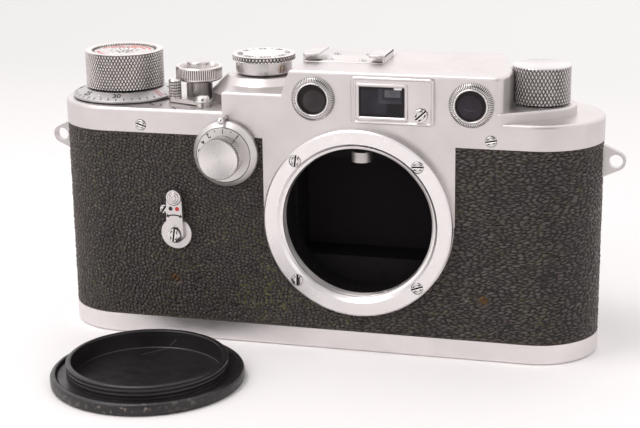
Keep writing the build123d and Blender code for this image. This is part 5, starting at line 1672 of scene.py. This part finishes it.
@dataclass
class Covering:
    """The pebble-grained leather round the body, cut out for the metal panel and lens mount."""

    half_long: float = 52.9
    bend: float = 15.45
    thick: float = 0.85
    pebble: float = 0.98
    row: float = 0.84
    seam_x: float = 12.4
    tuck: float = 0.8
    seed: int = 11

    def length(self) -> float:
        """How far it is round one half of the body."""
        return pi * self.bend + 2 * self.half_long

    def wrapped(self, s: Array, z: Array, out: Array, side: int) -> Array:
        """Lays the sheet round the body.

        With t1 and t2 the angles turned through in the first and second bend and m the run along
        the straight, x = -L - R cos t1 + m + R sin t2 and y = -R sin t1 + R (1 - cos t2); the point then
        moves out along the outward normal (-cos, -sin) of t1 + t2. The back half is turned round.

        Args:
            s: the distance from the body's end.
            z: the height.
            out: how far the point stands proud.
            side: 1 for the front half and -1 for the back.

        Returns:
            The points.
        """
        first = np.clip(s / self.bend, 0, pi / 2)
        run = np.clip(s - pi * self.bend / 2, 0, 2 * self.half_long)
        second = np.clip((s - pi * self.bend / 2 - 2 * self.half_long) / self.bend, 0, pi / 2)
        x = -self.half_long - self.bend * np.cos(first) + run + self.bend * np.sin(second)
        y = -self.bend * np.sin(first) + self.bend * (1 - np.cos(second))
        x = x - out * np.cos(first + second)
        y = y - out * np.sin(first + second)
        return np.stack([side * x, side * y, z], axis=-1)

    def pebbles(self, s: Array, z: Array, shift: int) -> Array:
        """The grain's height: how much nearer a point is to its own pebble's middle than to the next.

        Pebble middles are a jittered grid. Its columns grow from one pebble wide on the left to 1.45 on the
        right, where distances sideways count for less, and on the left its rows climb. The height is the
        smooth step of (F2 - F1) / 0.4, or 0.33 on the right, with F1 and F2 the two nearest middles'
        distances, and each pebble stands a little higher towards its upper edge.

        Args:
            s: the distance round the body.
            z: the height.
            shift: how many columns on in the grid to start.

        Returns:
            Heights from 0 in the creases to 1 on the pebbles.
        """
        rng = np.random.default_rng(self.seed)
        jitter = rng.uniform(0.1, 0.9, (400, 120, 2))
        swell = rng.uniform(0.66, 1.0, (400, 120))
        places = np.linspace(0, self.length(), 1200)
        width = self.pebble * (1 + 0.45 * smooth((places / self.length() - 0.42) / 0.25))
        columns = np.cumsum(1 / width) * (places[1] - places[0])
        left = 1 - smooth((s / self.length() - 0.3) / 0.3)
        u = np.interp(s, places, columns) + 0.3 * np.sin(z * 0.7 + 0.6 * np.sin(s * 0.31)) + 20
        v = z / self.row + 0.3 * np.sin(s * 0.5 + 0.7 * np.sin(z * 0.43)) + 40
        v = v + (0.5 * left - 0.1) * (s - self.length() * 0.35) / self.pebble
        draw = 1 - 0.5 * smooth((s / self.length() - 0.42) / 0.25)
        col, row = np.floor(u).astype(int), np.floor(v).astype(int)
        near, second, own = np.full(u.shape, 9.0), np.full(u.shape, 9.0), np.ones(u.shape)
        lean = np.zeros(u.shape)
        for across in range(-2, 3):
            for along in range(-1, 2):
                i, j = col + across, row + along
                spot = jitter[(i + shift) % 400, j % 120]
                away = np.hypot((u - i - spot[..., 0]) * draw, v - j - spot[..., 1])
                own = np.where(away < near, swell[(i + shift) % 400, j % 120], own)
                lean = np.where(away < near, v - j - spot[..., 1], lean)
                second = np.minimum(second, np.maximum(near, away))
                near = np.minimum(near, away)
        return smooth((second - near) / (0.26 + 0.14 * draw)) * own * (1.0 + 0.25 * np.clip(lean, -0.6, 0.6))

    def off_panel(self, x: Array, z: Array) -> Array:
        """How far a point is from the metal panel's outline, with points under it below 0."""
        mount = Bounds.of("lens_mount_ring")
        centre_x, centre_z, radius = mount.middle[0], mount.middle[2], float(mount.size[0]) / 2 + 0.1
        left, right = centre_x - 23.86, centre_x + 23.54
        beside = np.maximum(left - x, x - right)
        panel = np.hypot(np.maximum(beside, 0), np.maximum(centre_z - z, 0))
        panel = np.where(panel > 0, panel, np.maximum(beside, centre_z - z))
        disc = np.hypot(x - centre_x, z - centre_z) - radius
        return np.minimum(panel, disc)

    def piece(self, quarter: Quarter) -> Skin:
        """Builds one piece: a grained outside, a plain inside and walls along every cut edge.

        Args:
            quarter: which of the pieces.

        Returns:
            The closed piece with the marks grain, edge, moss and scuff.
        """
        _, side, start, end, step = quarter.value
        whole, box = self.length(), Bounds.of("leather_cover")
        seam = (pi * self.bend / 2 + self.half_long + self.seam_x) / whole
        start, end = (seam if start is None else start) * whole, (seam if end is None else end) * whole
        across, along = int((end - start) / step) + 1, int(box.size[2] / step) + 1
        s = np.linspace(start, end, across + 1)[None, :] + np.zeros((along + 1, 1))
        z = np.linspace(box.low[2] + 0.03, box.high[2] - 0.03,
                        along + 1)[:, None] + np.zeros((1, across + 1))
        flat = self.wrapped(s, z, 0 * s, side)
        x = flat[..., 0]
        grain = self.pebbles(s, z, 200 if side < 0 else 0)
        height = 0.44 * grain - 0.34
        front = side > 0
        away = self.off_panel(x, z) if front else np.full(x.shape, 99.0)
        rims = np.minimum(np.minimum(z - box.low[2], box.high[2] - z), np.maximum(away, 0))
        edge = np.exp(-rims / 0.3)
        scuff = np.zeros(x.shape)
        moss = 0.3 + 0.7 * np.exp(-(((x + 8) / 26) ** 2) - ((z - 14) / 14) ** 2)
        if front:
            screws = Bounds.of("leather_screws")
            for screw_x in (screws.low[0] + 1.1, screws.high[0] - 1.1):
                far = np.hypot(x - screw_x, z - screws.middle[2])
                sunk = 1 - smooth((far - 1.15) / 0.6)
                height = height * (1 - sunk) - 0.47 * sunk
                edge = np.maximum(edge, 0.6 * np.exp(-(((far - 1.5) / 0.5) ** 2)))
            nick_x, nick_z = screws.high[0] - 5.4, screws.middle[2]
            stroke = np.abs(np.abs(x - nick_x) - 0.55 * (z - nick_z + 0.7))
            scuff = np.exp(-((stroke / 0.22) ** 2)) * (np.abs(z - nick_z) < 0.7)
            height = height - 0.25 * scuff
            height = height - 0.35 * np.exp(-np.abs(x - self.seam_x) / 0.3)
        height = height * smooth(rims / 0.35)
        middle = (flat[:-1, :-1] + flat[1:, 1:]) / 2
        if front:
            keep = self.off_panel(middle[..., 0], middle[..., 2]) > -self.tuck
        else:
            keep = np.ones((along, across), bool)
        outside = self.wrapped(s, z, height, side).reshape(-1, 3)
        inside = self.wrapped(s, z, 0 * s - self.thick, side).reshape(-1, 3)
        marks = {"grain": grain, "edge": edge, "moss": moss, "scuff": scuff}
        marks = {name: np.concatenate([values.ravel(), values.ravel()]) for name, values in marks.items()}
        return two_sided(outside, inside, keep, marks)

    def build(self) -> None:
        """Builds every piece."""
        for quarter in Quarter:
            self.piece(quarter).build(quarter.value[0], [GrainedLeather()], "camera", "leather",
                                      ("leather_cover",), sharp=70.0)


def two_sided(outside: Array, inside: Array, keep: Array, marks: dict[str, Array]) -> Skin:
    """Closes a sheet that has some of its cells left out.

    Every kept cell has a face outside and one inside, turned the other way, and wherever a kept cell
    has no kept neighbour a wall joins the two.

    Args:
        outside: the outer grid's points in rows.
        inside: the inner grid's points, in the same order.
        keep: which cells are there, a row for each row of cells.
        marks: marks for the outer points and then the inner points.

    Returns:
        The closed surface, without the points that nothing uses.
    """
    rows, columns = keep.shape
    wide, count = columns + 1, len(outside)
    i, j = np.nonzero(keep)
    a, b, c, d = i * wide + j, i * wide + j + 1, (i + 1) * wide + j + 1, (i + 1) * wide + j
    faces = [np.stack([a, b, c, d], -1), np.stack([d, c, b, a], -1) + count]
    padded = np.pad(keep, 1)
    neighbours = ((0, -1, (d, a)), (0, 1, (b, c)), (-1, 0, (a, b)), (1, 0, (c, d)))
    for down, across, (first, last) in neighbours:
        bare = ~padded[i + 1 + down, j + 1 + across]
        p, q = first[bare], last[bare]
        faces.append(np.stack([q, p, p + count, q + count], -1))
    used, faces_flat = np.unique(np.concatenate([f.ravel() for f in faces]), return_inverse=True)
    quads = faces_flat.reshape(-1, 4)
    points = np.concatenate([outside, inside])[used]
    return Skin(points, [quads], [0], {name: values[used] for name, values in marks.items()})


# ---------------------------------------------------------------- carried-over nodes


@dataclass
class PlainNodes:
    """The nodes whose shape is right as it is, each with its finish."""

    def finishes(self) -> dict:
        """Which finish goes on which nodes."""
        ring = tuple(float(c) for c in Bounds.of("lens_mount_ring").middle)
        mount = Metal("mount_chrome", (0.80, 0.77, 0.77), 0.30, 0.00008, variation=0.02, centre=ring,
                      way=Facing.FRONT, ring_depth=0.0005)
        return {SATIN_CHROME: ("top_cover",),
                # Painted light: the base plate's chrome is lighter than the top cover's, standing in for the
                # floor's light that it reflects.
                Metal("base_chrome_painted_light", (0.785, 0.75, 0.75), 0.36): ("base_plate",),
                RING_CHROME: ("selector_lever", "flash_base", "base_lock_key", "key_handle"),
                # Painted shade: the strap lugs' chrome is darker than the body's.
                Metal("lug_chrome_painted_shade", (0.50, 0.475, 0.47), 0.3, 0.0001): ("strap_lugs",),
                mount: ("lens_mount_ring",),
                BRIGHT_STEEL: ("release_spring", "slow_index_post", "eyepieces", "sync_socket", "wind_shaft",
                               "wind_bush", "rewind_shaft", "speed_shaft", "sprocket_shaft"),
                Metal("sleeve_steel", (0.40, 0.38, 0.375), 0.42, 0.0001): ("release_sleeve",),
                Metal("roller_steel", (0.55, 0.52, 0.51), 0.5, 0.0002): ("rangefinder_roller",),
                BRASS: ("tripod_bush",),
                CHASSIS_BLACK: ("body_shell", "shutter_crate", "take_up_spool", "rangefinder_follower",
                                "shutter_drum", "spring_rollers"),
                BLACK_PAINT: ("light_box", "film_gate", "pressure_plate", "viewfinder_tube"),
                CoatedGlass("window_glass", (0.010, 0.006, 0.006)): ("window_glasses", "eyepiece_glasses"),
                CoatedGlass("finder_glass",
                            (0.010, 0.008, 0.010)): ("viewfinder_glass", "rangefinder_prism"),
                WovenCloth(): ("front_curtain", "rear_curtain"),}

    def build(self) -> None:
        """Puts each finish into its nodes' material slots."""
        for finish, names in self.finishes().items():
            made = material_of(finish)
            for name in names:
                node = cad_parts[name]
                if not node.material_slots:
                    node.data.materials.append(made)
                for place in node.material_slots:
                    place.material = made
            LOG.info("%s on %d nodes", made.name, len(names))


# ---------------------------------------------------------------- studio


@dataclass
class Studio:
    """The floor, the backdrop's light, four soft lamps and the camera."""

    white: Colour = (0.985, 0.955, 0.955)
    floor: Colour = (0.965, 0.945, 0.945)
    sky: float = 0.80
    reach: float = 2.0
    dark_side: tuple[float, float, float] = (0.30, -0.80, 0.52)
    bright_side: tuple[float, float, float] = (-0.1, 0.75, 0.66)
    lens: float = 89.98
    azimuth: float = 15.214
    elevation: float = 16.057
    roll: float = -0.788
    distance: float = 406.14
    target: tuple[float, float, float] = (-2.231, 0.0, 30.209)

    def backdrop(self) -> None:
        """White to the camera, dimmer where it lights the object, and with soft patches in reflections.

        A reflected ray's brightness falls from 1 to 0.2 as the cosine of its angle to the dark patch's
        middle goes from 0.80 to 0.95, and rises from 1 to 1.45 as the cosine of its angle to the bright
        side goes from 0.1 to 0.9.
        """
        world = bpy.data.worlds.new("studio")
        bpy.context.scene.world = world
        world.use_nodes = True
        tree = world.node_tree
        tree.nodes.clear()

        def add(kind: str, inputs: dict, **settings) -> bpy.types.NodeSocket:
            """Adds a node and gives back its first output."""
            node = tree.nodes.new(kind)
            for key, value in settings.items():
                setattr(node, key, value)
            for key, value in inputs.items():
                if isinstance(value, bpy.types.NodeSocket):
                    tree.links.new(value, node.inputs[key])
                else:
                    node.inputs[key].default_value = value
            return node.outputs["Value"] if "Value" in node.outputs else node.outputs[0]

        path = tree.nodes.new("ShaderNodeLightPath").outputs
        toward = tree.nodes.new("ShaderNodeTexCoord").outputs["Generated"]
        shares = []
        for way, near, far, end in ((self.dark_side, 0.80, 0.95, 0.2), (self.bright_side, 0.1, 0.9, 1.45)):
            angle = add("ShaderNodeVectorMath", {0: toward, 1: tuple(Vector(way).normalized())},
                        operation="DOT_PRODUCT")
            shares.append(
                add("ShaderNodeMapRange",
                    {"Value": angle, "From Min": near, "From Max": far, "To Min": 1.0, "To Max": end}))
        patch = add("ShaderNodeMath", {0: shares[0], 1: shares[1]}, operation="MULTIPLY")
        mirrored = add("ShaderNodeMath", {0: path["Is Glossy Ray"], 1: path["Is Transmission Ray"]},
                       operation="MAXIMUM")
        white = (*self.white, 1.0)
        soft = add("ShaderNodeBackground", {"Color": white, "Strength": self.sky})
        shiny = add("ShaderNodeBackground", {"Color": white, "Strength": patch})
        plain = add("ShaderNodeBackground", {"Color": white, "Strength": 1.0})
        lit = add("ShaderNodeMixShader", {0: mirrored, 1: soft, 2: shiny})
        final = add("ShaderNodeMixShader", {0: path["Is Camera Ray"], 1: lit, 2: plain})
        output = tree.nodes.new("ShaderNodeOutputWorld")
        tree.links.new(final, output.inputs[0])

    def ground(self) -> None:
        """The floor: matt and pale near the object, fading far from it to a glow of the backdrop's white,
        painted brighter towards +X.
        """
        g = Graph("studio_floor")
        cloud = g.span(g.noise(0.02, 2.0), 0.3, 0.7)
        colour = g.blend(cloud, shaded(self.floor, 0.995), shaded(self.floor, 1.005))
        g.set(Base_Color=colour, Roughness=0.9, Specular_IOR_Level=0.1)
        side = g.add("ShaderNodeSeparateXYZ", {0: g.spread(1.0)}).outputs[0]
        # Painted light: the glow's strength grows from left to right.
        strength = g.span(side, -350.0, 250.0, 0.895, 0.965)
        glow = g.add("ShaderNodeEmission", {"Color": (*self.white, 1.0), "Strength": strength})
        flat = g.spread(1.0, (1.0, 1.0, 0.0))
        far = g.add("ShaderNodeVectorMath", {0: flat}, operation="LENGTH").outputs["Value"]
        behind = g.add("ShaderNodeSeparateXYZ", {0: flat}).outputs[1]
        fade = g.sum("MAXIMUM", g.span(behind, 50.0, 330.0), g.span(far, 350.0, 900.0))
        mix = g.add("ShaderNodeMixShader", {0: fade, 1: g.shader.outputs[0], 2: glow.outputs[0]})
        g.tree.links.new(mix.outputs[0], g.output.inputs[0])
        mesh = bpy.data.meshes.new("studio_floor")
        r = self.reach
        mesh.from_pydata([(-r, -r, 0), (r, -r, 0), (r, r, 0), (-r, r, 0)], [], [(0, 1, 2, 3)])
        mesh.materials.append(g.material)
        plane = bpy.data.objects.new("studio_floor", mesh)
        bpy.context.scene.collection.objects.link(plane)

    def lamp(self, name: str, place: tuple, aim: tuple, size: tuple[float, float], radiance: float,
             mirrored: bool) -> None:
        """Adds a soft box.

        Args:
            name: its name.
            place: where it is, in millimetres.
            aim: what it faces.
            size: its two sides.
            radiance: how bright its face is, where 1 is white.
            mirrored: whether metal reflects it.
        """
        light = bpy.data.lights.new(name, "AREA")
        light.shape = "RECTANGLE"
        light.size, light.size_y = size[0] * MM, size[1] * MM
        light.energy = radiance * pi * size[0] * size[1] * MM * MM
        light.color = self.white
        holder = bpy.data.objects.new(name, light)
        look = Vector(aim) - Vector(place)
        heading = look.to_track_quat("-Z", "Y").to_matrix().to_4x4()
        holder.matrix_world = Matrix.Translation(Vector(place) * MM) @ heading
        holder.visible_camera = False
        holder.visible_glossy = mirrored
        bpy.context.scene.collection.objects.link(holder)

    def lamps(self) -> None:
        """Hangs the four soft boxes."""
        self.lamp("overhead", (-210, -150, 640), (0, 0, 20), (300, 250), 5.6, True)
        self.lamp("behind", (40, 760, 360), (0, 0, 40), (1100, 460), 0.85, False)
        self.lamp("front_left", (-420, -640, 470), (0, 0, 20), (760, 460), 1.35, True)
        self.lamp("front_right", (620, -560, 380), (0, 0, 20), (420, 420), 0.9, True)

    def camera(self) -> None:
        """Stands the camera on its azimuth, elevation and roll round the target."""
        a, e, r = radians(self.azimuth), radians(self.elevation), radians(self.roll)
        right = Vector((cos(a), sin(a), 0))
        up = Vector((-sin(a) * sin(e), cos(a) * sin(e), cos(e)))
        back = Vector((sin(a) * cos(e), -cos(a) * cos(e), sin(e)))
        turned_right, turned_up = right * cos(r) + up * sin(r), up * cos(r) - right * sin(r)
        place = (Vector(self.target) + back * self.distance) * MM
        data = bpy.data.cameras.new("camera")
        data.lens, data.sensor_width = self.lens, 36.0
        data.clip_start, data.clip_end = 0.01, 20.0
        holder = bpy.data.objects.new("camera", data)
        holder.matrix_world = Matrix.Translation(place) @ Matrix(
            (turned_right, turned_up, back)).transposed().to_4x4()
        bpy.context.scene.collection.objects.link(holder)
        bpy.context.scene.camera = holder

    def build(self) -> None:
        """Sets up the whole studio."""
        bpy.context.scene.view_settings.view_transform = "Standard"
        self.backdrop()
        self.ground()
        self.lamps()
        self.camera()


def main() -> None:
    """Builds every sub-assembly, then the studio."""
    logging.basicConfig(level=logging.INFO, format="%(name)s: %(message)s")
    parts = [PlainNodes(), Covering(), WindingKnob(), CounterDisc(), DeckMarks(), ReleaseGroup(),
             SpeedDial(), SlowDial(), FlashLever(), WindowBezels(), Finder(), AccessoryShoe(), Screws(),
             LensMountThread(), RewindKnob(), BodyCap(), Studio()]
    for part in parts:
        part.build()


if __name__ == "__main__":
    main()
